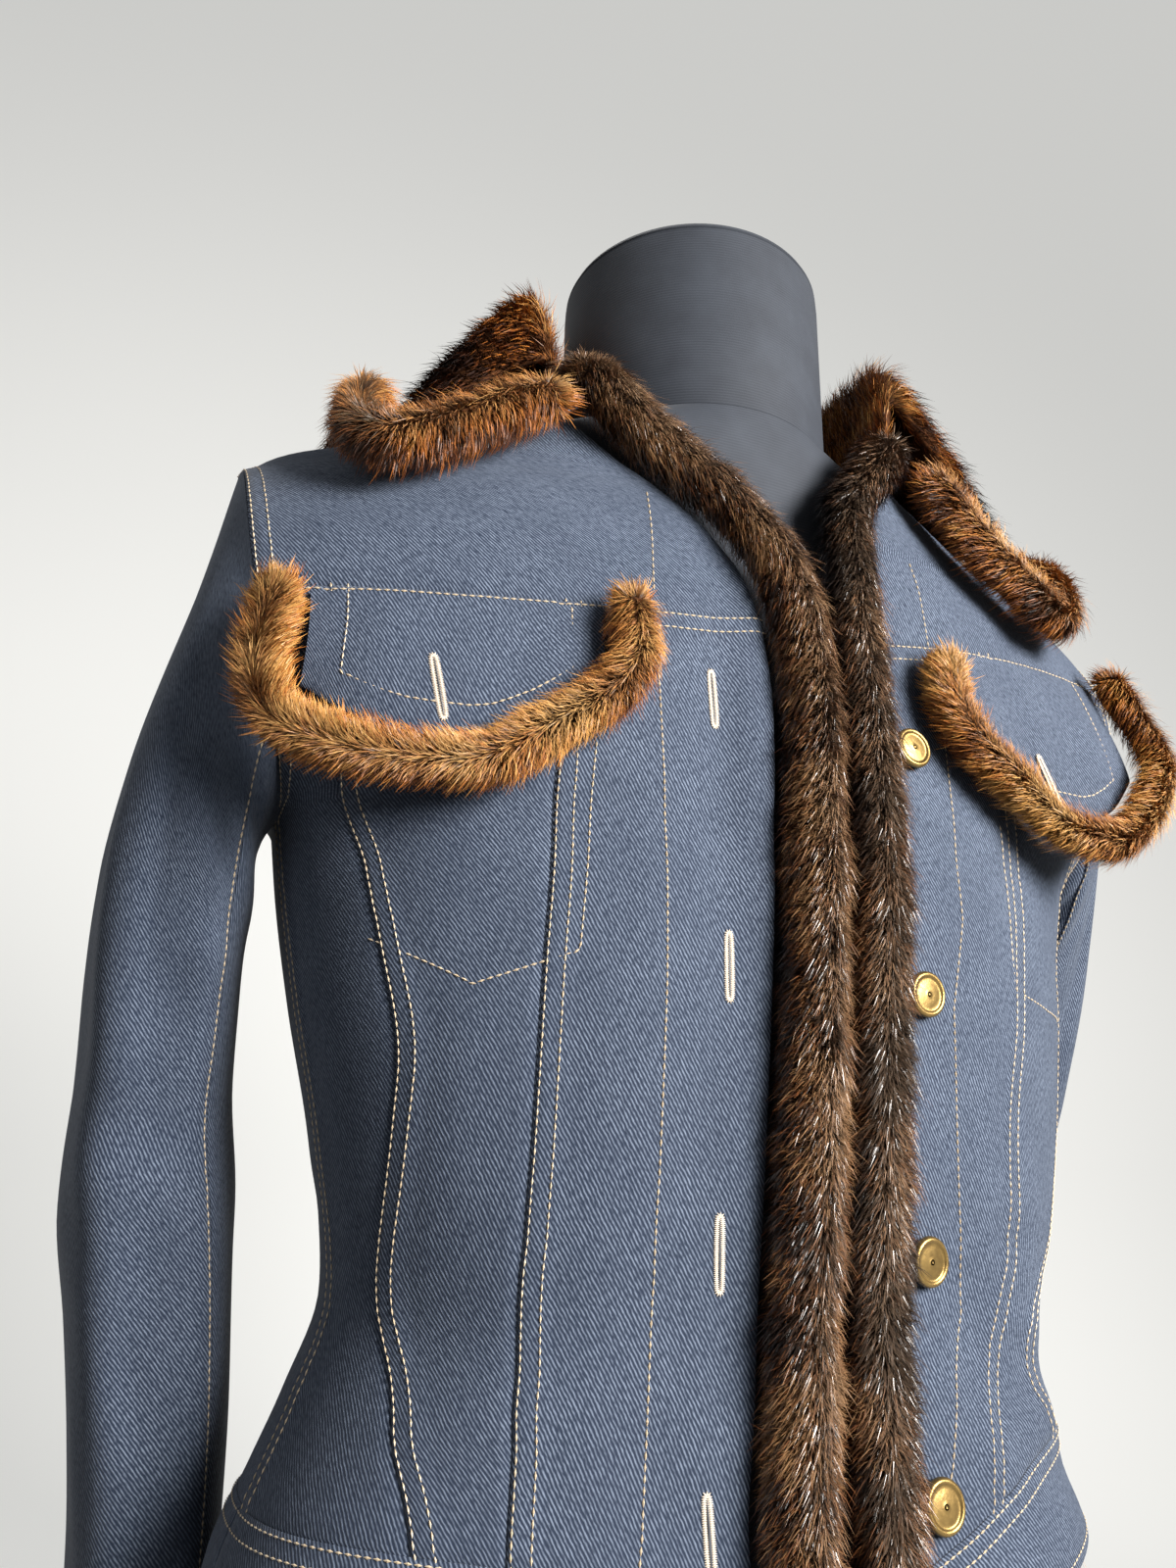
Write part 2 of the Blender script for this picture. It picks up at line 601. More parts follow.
def body_panel(name, heights, level, left, right, felled=(), spacing=5.0, wall=DENIM, out=0.0):
    heights = np.asarray(heights, float)
    ends = meet(left, heights, level), meet(right, heights, level)
    middle = len(heights) // 2
    a, b = ends[0][middle], ends[1][middle]
    track = body_point(np.linspace(a, b, 30), level(np.linspace(a, b, 30), heights[middle]))
    width = np.linalg.norm(np.diff(track, axis=0), axis=-1).sum()
    shares = steps(width, "left" in felled, "right" in felled, spacing) / width
    angles = ends[0][:, None] + (ends[1] - ends[0])[:, None] * shares
    base, normal = body_place(angles, level(angles, heights[:, None]))
    distances = edge_distances(base)
    rise = sum((fell(*distances[edge]) for edge in felled), np.zeros(base.shape[:2]))
    rise = np.minimum(rise, FELL_RISE + PUCKER)
    nearest = np.minimum.reduce([distances[edge][0] for edge in ("left", "right", "bottom", "top")])
    rise = rise - 0.45 * np.clip(1 - nearest / 0.9, 0, 1)
    outer = base + normal * (out + rise)[..., None]
    panels[name] = {"outer": outer, "normal": normal}
    felled_edges.extend((name, edge) for edge in felled)
    return cloth_wall(name, outer, base + normal * (out - wall))


def heights_between(low, high, first, last, spacing=5.0):
    return low + steps(high - low, first, last, spacing)


def between(side, inner, outer):
    return (inner, outer) if side > 0 else (outer, inner)


def flanks(side, inner, outer):
    """Names of a panel's edges as seen from outside, for the edge nearer the front and the other one."""
    names = {"inner": "left" if side > 0 else "right", "outer": "right" if side > 0 else "left"}
    return [names[word] for word, wanted in (("inner", inner), ("outer", outer)) if wanted]


front_rows = heights_between(PANEL_FOOT, YOKE_FRONT - SEAM_GAP / 2, False, True)
back_rows = heights_between(PANEL_FOOT, YOKE_BACK - SEAM_GAP / 2, False, True)
for side, word in ((-1, "right"), (1, "left")):
    inner, outer = INNER_SEAM[side], OUTER_SEAM[side]
    body_panel(f"front_centre_{word}", front_rows, under_yoke,
               *between(side, front_edge(side), seam_edge(inner, side, -side)),
               felled=["top", *flanks(side, False, True)])
    body_panel(f"front_middle_{word}", front_rows, under_yoke,
               *between(side, seam_edge(inner, side, side), seam_edge(outer, side, -side)),
               felled=["top", *flanks(side, False, True)])
    body_panel(f"front_side_{word}", front_rows, under_yoke,
               *between(side, seam_edge(outer, side, side), side_edge(side, False)),
               felled=["top", *flanks(side, False, True)])
    body_panel(f"back_side_{word}", back_rows, over_band,
               *between(side, side_edge(side, True), seam_edge(BACK_SEAM, side, -side, True)), felled=["top"])
    middle_seam = (lambda way: lambda at: shifted(way * np.pi + 0 * at, at, -way * SEAM_GAP / 2))(side)
    body_panel(f"back_centre_{word}", back_rows, over_band,
               *between(side, seam_edge(BACK_SEAM, side, side, True), middle_seam),
               felled=["top", *flanks(side, True, side > 0)])
print("panels:", len(panels))

# %% [markdown]
# ## Yokes and hem band
# A yoke is one flat piece that carries the shoulder, so it has no seam down its front. The hem band is
# doubled cloth, thicker than the rest, and its upper edge follows the panels.

# %% Yokes and hem band
front_yoke_rows = heights_between(YOKE_FRONT + SEAM_GAP / 2, NECKLINE, False, False, 4.6)
back_yoke_rows = heights_between(YOKE_BACK + SEAM_GAP / 2, NECKLINE, False, False, 4.6)
for side, word in ((-1, "right"), (1, "left")):
    body_panel(f"front_yoke_{word}", front_yoke_rows, over_yoke,
               *between(side, front_edge(side), side_edge(side, False)), felled=flanks(side, False, True))
body_panel("back_yoke", back_yoke_rows, level_rows, side_edge(1, True), side_edge(-1, True, 2 * np.pi),
           felled=["left", "right"])

band_rows = heights_between(0, BAND_DEPTH, True, False, 4.5) / BAND_DEPTH
band_rows = 1 - band_rows[::-1]
for side, word in ((-1, "right"), (1, "left")):
    body_panel(f"hem_band_{word}", band_rows, in_band, *between(side, front_edge(side), side_edge(side, False)),
               wall=BAND_WALL, out=0.5)
body_panel("hem_band_back", band_rows, in_band, side_edge(1, True), side_edge(-1, True, 2 * np.pi),
           wall=BAND_WALL, out=0.5)
print("pieces of the body:", len(panels))

# %% [markdown]
# ## Sleeves
# A sleeve has two parts, a wide top and a narrow under, sewn into the armhole. Its rings are given by
# their outer and inner points seen from the front. The arm is empty, so the cloth falls in long soft
# troughs, with short sharper creases where it bends at the elbow.

# %% Sleeve tables
SLEEVE_NAMES = ["along", "outX", "outZ", "inX", "inZ", "bow", "middle", "front", "back"]
SLEEVE = {
    -1: [[212, 307, 182, 167, 8.5, 8, 52, 60], [216, 286, 184.5, 163, 6, 11.5, 53, 60],
         [222, 258, 186.5, 158, 4, 16, 54, 59], [229, 224, 187.5, 151, 2, 23, 54, 57],
         [236, 186, 187.5, 142, 1, 32, 53, 55], [241, 145, 186.5, 127, 0, 42, 52, 53],
         [242, 105, 184, 103, 0, 52, 51, 51], [240, 65, 181, 68, 0, 61, 50, 50],
         [238, 25, 176, 28, 0, 69, 49, 49], [230, -15, 171, -12, 0, 77, 48, 48],
         [223, -55, 167, -52, 0, 84, 47, 47], [218, -92, 165, -90, 0, 90, 46, 46],
         [215, -134, 164, -132, 0, 94, 45.5, 45.5], [214, -175, 164, -173, 0, 97, 45, 45]],
    1: [[212, 307, 182, 167, 8.5, 8, 52, 60], [217, 286, 184.5, 163, 6, 12, 53, 60],
        [223, 258, 186, 158, 4, 19, 54, 59], [229, 224, 186, 151, 2, 28, 54, 57],
        [233, 186, 185, 142, 1, 39, 53, 55], [235, 145, 182.5, 127, 0, 51, 52, 53],
        [234, 105, 178, 103, 0, 62, 51, 51], [230, 65, 173, 68, 0, 72, 50, 50],
        [224, 25, 168, 28, 0, 80, 49, 49], [219, -15, 164, -12, 0, 87, 48, 48],
        [217, -55, 163, -52, 0, 91, 47, 47], [220, -92, 166, -90, 0, 93, 46, 46],
        [223, -134, 171, -132, 0, 94, 45.5, 45.5], [225, -175, 173, -173, 0, 94, 45, 45]],
}
SLEEVE_CURVES = {side: curves(SLEEVE_NAMES, [[k, *row] for k, row in enumerate(rows)])
                 for side, rows in SLEEVE.items()}
SLEEVE_LAST = 13
SLEEVE_FOLDS = np.array([      # degrees round from the outer side over the front, place from 0 to 1, as above
    [48, 0.52, 20, 0.55, 2.6, 14], [84, 0.5, 22, 0.5, -2.6, 10], [-60, 0.5, 24, 0.5, -2.4, -20],
    [20, 0.5, 34, 0.06, -2.2, 60], [120, 0.56, 40, 0.05, -2.4, -60], [-110, 0.47, 40, 0.06, -2.2, 60],
    [150, 0.34, 34, 0.07, 2.0, 40], [10, 0.14, 26, 0.1, -1.8, 40],
    # creases that only this scene has
    [66, 0.3, 8, 0.16, -1.2, 50], [36, 0.34, 8, 0.14, 1.0, 60], [100, 0.3, 12, 0.05, -1.6, 200],
    [60, 0.56, 16, 0.028, -1.6, 160], [84, 0.6, 18, 0.026, 1.5, 120], [40, 0.63, 14, 0.03, -1.3, 150],
    [96, 0.48, 16, 0.03, -1.5, -150], [110, 0.44, 14, 0.028, 1.3, -130], [70, 0.72, 12, 0.04, -1.2, 80],
    [28, 0.78, 10, 0.07, 1.0, 50], [80, 0.86, 14, 0.035, -1.3, 110], [50, 0.92, 16, 0.025, 1.2, 60],
    [-30, 0.56, 16, 0.03, -1.4, -160], [-70, 0.6, 18, 0.03, 1.4, -140], [-50, 0.34, 10, 0.12, -1.2, -60],
    [-90, 0.7, 14, 0.05, -1.3, -80], [-40, 0.85, 14, 0.04, 1.2, -70], [0, 0.26, 12, 0.1, 0.9, 40],
    [140, 0.2, 16, 0.06, -1.2, 90], [-140, 0.2, 16, 0.06, -1.2, -90], [176, 0.6, 16, 0.05, 1.2, 60],
])


def sleeve_point(side, turn, along, out=0.0):
    turn, along = np.broadcast_arrays(np.asarray(turn, float), np.asarray(along, float))
    ring = {name: value(along) for name, value in SLEEVE_CURVES[side].items()}
    power = 2 + 0.3 * np.minimum(1, along / 3)
    cos, sin = (np.sign(v) * np.abs(v) ** (2 / power) for v in (np.cos(turn), np.sin(turn)))
    half = np.hypot(ring["outX"] - ring["inX"], ring["outZ"] - ring["inZ"]) / 2
    fold = 1.5 * fold_depth(SLEEVE_FOLDS, turn, along / SLEEVE_LAST) * np.clip(along / 2, 0, 1)
    across = cos * (1 + (out + fold) / half) / 2
    x = (ring["outX"] + ring["inX"]) / 2 + across * (ring["outX"] - ring["inX"]) + ring["bow"] * (1 - cos * cos)
    z = (ring["outZ"] + ring["inZ"]) / 2 + across * (ring["outZ"] - ring["inZ"])
    y = ring["middle"] - sin * (np.where(sin > 0, ring["front"], ring["back"]) + out + fold)
    return np.stack([side * (x + SEAM_GAP), y, z], -1)


# %% Sleeves
SEAM_TURN = 0.0043
for side, word in ((-1, "right"), (1, "left")):
    along = np.concatenate([np.linspace(SLEEVE_LAST, 0.1, 96), [0.0]])
    for part, first, last, count in (("top", -2.2, 2.2, 46), ("under", 2.2, 2 * np.pi - 2.2, 22)):
        share = np.linspace(0, 1, count)
        share = np.concatenate([[0, share[1] * 0.2], share[1:-1], [1 - share[1] * 0.2, 1]])
        turns = first + SEAM_TURN + (last - first - 2 * SEAM_TURN) * share
        turns = turns[::-1] if side > 0 else turns
        base = sleeve_point(side, turns[None, :], along[:, None])
        normal = unit(np.cross(np.gradient(base, axis=1), np.gradient(base, axis=0)))
        across = lengths(base, 1)
        rise = np.zeros(base.shape[:2])
        if part == "top":
            rise += fell(across, lengths(base, 0)) + fell(across[:, -1:] - across, lengths(base, 0))
        rise *= np.clip(along / 0.4, 0, 1)[:, None]
        outer = base + normal * rise[..., None]
        panels[f"sleeve_{part}_{word}"] = {"outer": outer, "normal": normal}
        inner = sleeve_point(side, turns[None, :], along[:, None], -DENIM)
        cloth_wall(f"sleeve_{part}_{word}", outer, inner)
print("sleeve length in mm:", round(float(lengths(panels["sleeve_top_right"]["outer"], 0)[-1].max())))

# %% [markdown]
# ## The dress form
# The form is a hard shell with a tight jersey cover and no limbs. A subdivided cage would do, but its own
# table of ovals gives a smooth body that the jacket clears everywhere. Jersey shows as fine level ribs,
# so its material runs a fine wave up the height, and a thin groove marks the seam under the neck's cap.

# %% Jersey and board materials
def jersey_material():
    material, tree, shader = new_material("jersey")
    place = node(tree, "ShaderNodeTexCoord").outputs["Object"]
    wave = node(tree, "ShaderNodeTexWave", {"wave_type": "BANDS", "bands_direction": "Z"},
                {"Scale": 0.3142 / 0.0014, "Distortion": 0.8, "Detail": 2.0, "Detail Scale": 2.0},
                {"Vector": place}).outputs["Fac"]
    cloudy = noise(tree, place, 60.0, 3.0)
    grey = mixed(tree, cloudy, (0.012, 0.014, 0.020), (0.034, 0.040, 0.052))
    lit = sums(tree, "MULTIPLY", wave, 0.25)
    tree.links.new(mixed(tree, lit, grey, (0.060, 0.068, 0.085)), shader.inputs["Base Color"])
    shader.inputs["Roughness"].default_value = 0.75
    shader.inputs["Sheen Weight"].default_value = 0.1
    shader.inputs["Sheen Roughness"].default_value = 0.4
    shader.inputs["Specular IOR Level"].default_value = 0.3
    bump(tree, shader, wave, 0.15, 0.0003)
    return material


def board_material():
    material, tree, shader = new_material("board")
    place = node(tree, "ShaderNodeTexCoord").outputs["Object"]
    grain = noise(tree, place, 900.0, 2.0)
    tree.links.new(mixed(tree, grain, (0.020, 0.018, 0.017), (0.030, 0.027, 0.025)), shader.inputs["Base Color"])
    shader.inputs["Roughness"].default_value = 0.5
    bump(tree, shader, grain, 0.15, 0.0002)
    return material


jersey, board = jersey_material(), board_material()

# %% Form, neck and base
FORM_NAMES = ["at", "half", "front", "back", "power", "middle"]
FORM = [
    [-238, 124, 78, 96, 2.3, 4], [-226, 130, 82, 100, 2.3, 4], [-170, 142, 84, 106, 2.3, 2],
    [-110, 137, 80, 104, 2.3, 0], [-50, 124, 74, 94, 2.3, 0], [0, 131, 72, 86, 2.3, 0], [50, 142, 75, 89, 2.3, 1],
    [100, 154, 78, 97, 2.3, 3], [150, 166, 82, 105, 2.3, 6], [200, 176, 78, 107, 2.2, 8],
    [245, 188, 72, 103, 2.1, 8], [278, 198, 70, 97, 2.0, 8], [293, 200, 68, 91, 2.0, 8], [306, 196, 67, 86, 2.0, 8],
    [320, 177.7, 66, 80, 2.0, 7.3], [336, 142.7, 65.5, 75, 2.0, 5.6], [351, 104, 65, 70, 2.0, 5],
    [364, 65.5, 64.5, 65.5, 2.0, 5],
]
NECK_RADIUS, NECK_MIDDLE = 64.5, 5.0
NECK_PROFILE = [[364.5, 0.6], [365.4, 0], [400, 0], [454, 0], [460.2, 0.3], [460.8, 1.1], [461.6, 1.1], [462.2, 0.5],
                [464.5, 1.6], [467, 4.5], [469.5, 12], [472, 24], [473.6, 40], [474, 56]]
FORM_CURVES = curves(FORM_NAMES, FORM)


def form_loops(heights, shrink=0.0, sides=112):
    angles = np.linspace(0, 2 * np.pi, sides, endpoint=False)[None, :]
    at = np.asarray(heights, float)[:, None]
    ring = {name: value(at) for name, value in FORM_CURVES.items()}
    shrink = np.asarray(shrink, float).reshape(-1, 1) if np.ndim(shrink) else shrink
    return ring_point(ring["half"] - shrink, ring["front"] - shrink, ring["back"] - shrink, ring["power"],
                      ring["middle"], angles, at)


def stack(name, loops, material, node_name):
    rings, sides = loops.shape[:2]
    faces = grid_faces(rings, sides, round_cols=True).tolist()
    faces += [list(range(sides))[::-1], [(rings - 1) * sides + k for k in range(sides)]]
    piece = make_mesh(name, loops, faces, [material], sharp=40)
    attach(piece, "root")
    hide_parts(node_name)
    return piece


torso = stack("dress_form", form_loops(np.linspace(-238, 364, 130)), jersey, "form_torso")
turns = np.linspace(0, 2 * np.pi, 96, endpoint=False)
neck_loops = np.array([[[(NECK_RADIUS - inset) * np.sin(t), NECK_MIDDLE - (NECK_RADIUS - inset) * np.cos(t), at]
                        for t in turns] for at, inset in NECK_PROFILE])
neck = stack("dress_form_neck", neck_loops, jersey, "form_neck")
board_rows = np.array([[-250, 1.6], [-249.4, 0.6], [-248, 0], [-240.5, 0], [-239.1, 0.6], [-238.3, 1.8]])
base_loops = form_loops(np.full(len(board_rows), -238.0), board_rows[:, 1], 112)
base_loops[..., 2] = board_rows[:, :1]
base = stack("dress_form_base", base_loops, board, "form_base")
print("neck width in mm:", 2 * NECK_RADIUS)

# %% [markdown]
# ## Pocket flaps
# A flap is sewn down under the yoke seam and stands off towards its outer lower corner, where it sags
# forward over the pocket. Every point is a place on the body, moved out.

# %% Flaps
FLAP = {
    -1: {"inner": 84, "outer": 187, "stand": 16, "ends": (4, 8),
         "low": [[84, 212], [95, 203], [113, 190], [131, 183], [150, 184], [170, 190], [187, 200]]},
    1: {"inner": 76, "outer": 181, "stand": 22, "ends": (16, 5),
        "low": [[76, 220], [92, 208], [110, 196], [128, 189], [146, 189], [164, 197], [181, 214]]},
}
FLAP_DROP, FLAP_LENGTH, FLAP_SEAT, FLAP_THICK, FLAP_FUR, LAY_ON = 3.0, 60.0, 0.5, 1.5, 9.5, 1.1


def flap_top(side, x):
    return yoke_seam(angle_of(side * x, YOKE_FRONT)) - FLAP_DROP


def flap_point(side, x, at):
    x, at = np.broadcast_arrays(np.asarray(x, float), np.asarray(at, float))
    flap = FLAP[side]
    lower = np.maximum(0, (flap_top(side, x) - at) / FLAP_LENGTH)
    outward = np.clip((x - flap["inner"]) / (flap["outer"] - flap["inner"]), 0, 1.2)
    point, normal = body_place(angle_of(side * x, at), at)
    room = FLAP_SEAT + (LAY_ON - FLAP_SEAT) * lower + FLAP_THICK
    forward = np.stack([0 * x, -flap["stand"] * lower * outward ** 2, 0 * x], -1)
    return point + normal * room[..., None] + forward


def flap_place(side, x, at):
    across = (flap_point(side, x + 1, at) - flap_point(side, x - 1, at)) * side
    up = flap_point(side, x, at + 1) - flap_point(side, x, at - 1)
    return flap_point(side, x, at), unit(np.cross(across, up))


for side, word in ((-1, "right"), (1, "left")):
    flap = FLAP[side]
    low = curve(flap["low"])
    x = np.linspace(flap["inner"], flap["outer"], 30)[::side][None, :]
    share = np.concatenate([[0, 0.02, 0.05], np.linspace(0.1, 0.92, 14), [0.97, 1]])[:, None]
    at = low(x) + (flap_top(side, x) - low(x)) * share
    point, normal = flap_place(side, x, at)
    sag = 0.5 * np.sin(x / 11.0) * np.sin(np.pi * share) + 0.35 * np.sin(x / 5.2 + 3 * share) * np.sin(np.pi * share)
    rounded = -0.5 * np.clip(1 - share / 0.03, 0, 1)
    outer = point + normal * (sag + rounded)[..., None]
    panels[f"flap_{word}"] = {"outer": outer, "normal": normal}
    cloth_wall(f"flap_{word}", outer, point - normal * FLAP_THICK)
print("flap width in mm:", FLAP[-1]["outer"] - FLAP[-1]["inner"])

# %% [markdown]
# ## Topstitching
# Every felled seam is held by two rows of cream thread. A stitch is a short bead of thread, and one small
# tree sets thousands of them: it takes a line, cuts it into steps of one pitch, and lays a bead on each
# step, turned along the line and flat on the cloth. Buttonholes use the same tree with the beads turned
# across the line and packed close.

# %% The stitch tree
def thread_material(name, colour, other):
    material, tree, shader = new_material(name)
    place = node(tree, "ShaderNodeTexCoord").outputs["Object"]
    strand = noise(tree, place, 900.0, 1.0)
    tree.links.new(mixed(tree, strand, colour, other), shader.inputs["Base Color"])
    shader.inputs["Roughness"].default_value = 0.45
    shader.inputs["Sheen Weight"].default_value = 0.2
    return material


cream_thread = thread_material("cream_thread", (0.40, 0.29, 0.17), (0.66, 0.54, 0.38))
pale_thread = thread_material("pale_thread", (0.52, 0.42, 0.33), (0.78, 0.68, 0.56))


def stitch_tree():
    tree = bpy.data.node_groups.new("stitches", "GeometryNodeTree")
    tree.interface.new_socket("Geometry", in_out="INPUT", socket_type="NodeSocketGeometry")
    for name, kind in (("Pitch", "Float"), ("Stitch", "Float"), ("Thickness", "Float"), ("Turn", "Float"),
                       ("Thread", "Material")):
        tree.interface.new_socket(name, in_out="INPUT", socket_type=f"NodeSocket{kind}")
    tree.interface.new_socket("Geometry", in_out="OUTPUT", socket_type="NodeSocketGeometry")
    given = tree.nodes.new("NodeGroupInput").outputs
    closing = tree.nodes.new("NodeGroupOutput")
    line = node(tree, "GeometryNodeMeshToCurve", links={"Mesh": given["Geometry"]}).outputs[0]
    cut = node(tree, "GeometryNodeResampleCurve", {"mode": "LENGTH"}, links={"Curve": line,
                                                                             "Length": given["Pitch"]}).outputs[0]
    along = node(tree, "GeometryNodeInputTangent").outputs[0]
    out = node(tree, "GeometryNodeInputNamedAttribute", {"data_type": "FLOAT_VECTOR"}, {"Name": "out"}).outputs[0]
    first = node(tree, "FunctionNodeAlignRotationToVector", {"axis": "X"}, links={"Vector": along}).outputs[0]
    flat = node(tree, "FunctionNodeAlignRotationToVector", {"axis": "Z", "pivot_axis": "X"},
                links={"Rotation": first, "Vector": out}).outputs[0]
    spin = node(tree, "FunctionNodeAxisAngleToRotation", values={"Axis": (0, 0, 1)},
                links={"Angle": given["Turn"]}).outputs[0]
    turned = node(tree, "FunctionNodeRotateRotation", {"rotation_space": "LOCAL"},
                  links={"Rotation": flat, "Rotate By": spin}).outputs[0]
    bead = node(tree, "GeometryNodeMeshUVSphere", values={"Segments": 4, "Rings": 2, "Radius": 0.5}).outputs["Mesh"]
    size = node(tree, "ShaderNodeCombineXYZ", links={
        "X": given["Stitch"], "Y": given["Thickness"], "Z": sums(tree, "MULTIPLY", given["Thickness"], 0.8)}).outputs[0]
    laid = node(tree, "GeometryNodeInstanceOnPoints",
                links={"Points": cut, "Instance": bead, "Rotation": turned, "Scale": size}).outputs[0]
    real = node(tree, "GeometryNodeRealizeInstances", links={"Geometry": laid}).outputs[0]
    done = node(tree, "GeometryNodeSetMaterial", links={"Geometry": real, "Material": given["Thread"]}).outputs[0]
    tree.links.new(done, closing.inputs[0])
    return tree


def grown(source, tree, name, inputs):
    """Runs a node tree on a source object and keeps its result as a plain mesh of its own."""
    modifier = source.modifiers.new("grow", "NODES")
    modifier.node_group = tree
    for item in tree.interface.items_tree:
        if item.in_out == "INPUT" and item.name in inputs:
            modifier[item.identifier] = inputs[item.name]
    evaluated = source.evaluated_get(bpy.context.evaluated_depsgraph_get())
    mesh = bpy.data.meshes.new_from_object(evaluated)
    source.modifiers.remove(modifier)
    mesh.name = name
    made = bpy.data.objects.new(name, mesh)
    bpy.context.scene.collection.objects.link(made)
    return made


STITCHES = stitch_tree()


def sewn(name, lines, pitch, stitch, thickness, turn, thread, lift):
    """lines is a list of (points, normals) in mm; one piece is made of all their stitches."""
    points = np.concatenate([p + n * lift for p, n in lines])
    normals = np.concatenate([n for _, n in lines])
    starts = np.cumsum([0] + [len(p) for p, _ in lines])
    mesh = bpy.data.meshes.new(name + "_line")
    edges = [(k, k + 1) for a, b in zip(starts[:-1], starts[1:]) for k in range(a, b - 1)]
    mesh.from_pydata(metres(points).tolist(), edges, [])
    held = mesh.attributes.new("out", "FLOAT_VECTOR", "POINT")
    held.data.foreach_set("vector", normals.astype(np.float32).ravel())
    source = bpy.data.objects.new(name + "_line", mesh)
    bpy.context.scene.collection.objects.link(source)
    piece = grown(source, STITCHES, name, {"Pitch": pitch / 1000, "Stitch": stitch / 1000, "Turn": turn,
                                           "Thickness": thickness / 1000, "Thread": thread})
    bpy.data.objects.remove(source)
    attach(piece, "root")
    print(name, "stitches:", len(piece.data.polygons) // 8)
    return piece


# %% [markdown]
# The rows are taken from the panels themselves: a row keeps one distance from an edge, so it follows every
# curve and fold of the seam. Rows that follow no seam, such as the facing's and the pocket bag's, are
# short tables of distances from the middle of the body and heights.

# %% Rows of stitches
def along_edge(name, edge, distance, skip=0):
    outer, normal = panels[name]["outer"], panels[name]["normal"]
    if edge in ("bottom", "top"):
        outer, normal = outer.swapaxes(0, 1), normal.swapaxes(0, 1)
    if edge in ("right", "top"):
        outer, normal = outer[:, ::-1], normal[:, ::-1]
    reach = lengths(outer, 1)
    points, normals = [], []
    for k in range(skip, len(outer) - skip):
        j = int(np.clip(np.searchsorted(reach[k], distance) - 1, 0, outer.shape[1] - 2))
        t = (distance - reach[k, j]) / (reach[k, j + 1] - reach[k, j])
        points.append(outer[k, j] * (1 - t) + outer[k, j + 1] * t)
        normals.append(unit(normal[k, j] * (1 - t) + normal[k, j + 1] * t))
    return np.array(points), np.array(normals)


def drawn(side, places, step=3.0, surface=None):
    """A line through (distance from the middle, height) places on one front."""
    places = np.array(places, float)
    parts = [np.linspace(a, b, max(2, int(np.hypot(*(b - a)) / step)), endpoint=False)
             for a, b in zip(places[:-1], places[1:])]
    track = np.concatenate([*parts, places[-1:]])
    if surface:
        return surface(side, track[:, 0], track[:, 1])
    return body_place(angle_of(side * track[:, 0], track[:, 1]), track[:, 1])


FACING = {-1: [[62, 238], [62, 104], [65, 11], [71, -60], [73, -72]],
          1: [[72, 228], [70, 181], [68, 137], [60, 102], [58, 42], [59, -4], [52, -22], [45, -50], [38, -66]]}
YOKE_FACING = {-1: [[62, 300], [62, 256]], 1: [[70, 300], [71, 250]]}
POUCH = {-1: [[87, 186], [88, 176], [92, 112], [125, 100], [155, 115]],
         1: [[99, 180], [100, 157], [98, 113], [128, 108], [158, 106]]}
rows = [along_edge(name, edge, distance) for name, edge in felled_edges for distance in (1.8, 7.8)]
for side, word in ((-1, "right"), (1, "left")):
    rows += [drawn(side, table[side]) for table in (FACING, YOKE_FACING, POUCH)]
    rows += [along_edge(f"hem_band_{word}", "top", distance) for distance in (1.8, 7.0)]
    rows += [along_edge(f"hem_band_{word}", "bottom", 4.0)]
    rows += [along_edge(f"sleeve_top_{word}", edge, 2.0) for edge in ("left", "right")]
    flap = FLAP[side]
    low = curve(flap["low"])
    inset = 12.0
    corner = flap["outer"] - inset
    route = [[corner, float(flap_top(side, corner)) - 2]]
    route += [[x, float(low(x)) + inset] for x in np.linspace(corner, flap["inner"] + inset, 12)]
    route += [[flap["inner"] + inset, float(flap_top(side, flap["inner"] + inset)) - 2]]
    rows.append(drawn(side, route, surface=flap_place))
rows += [along_edge("hem_band_back", "top", distance) for distance in (1.8, 7.0)]
rows += [along_edge("hem_band_back", "bottom", 4.0)]
sewn("topstitching", rows, 3.0, 2.7, 0.8, 0.0, cream_thread, 0.22)

# %% Buttonholes
HOLE_LENGTH, HOLE_WIDTH = 26.0, 3.1
HOLES = [(-1, 40, 212, 0.0, None), (-1, 39, 110, 0.0, None), (-1, 43, 17, 0.0, None), (-1, 50, -62, 0.0, None),
         (-1, 143, 201, 0.22, flap_place), (1, 128, 205, -0.35, flap_place)]


def hole_line(side, x, at, lean, surface, wide, tall):
    turn = np.linspace(0, 2 * np.pi, 41)
    across = wide / 2 * np.sign(np.cos(turn)) * np.abs(np.cos(turn)) ** 0.35
    up = tall / 2 * np.sign(np.sin(turn)) * np.abs(np.sin(turn)) ** 0.8
    return drawn(side, np.stack([x + across * math.cos(lean) + up * math.sin(lean),
                                 at + up * math.cos(lean) - across * math.sin(lean)], -1), 1.5, surface)


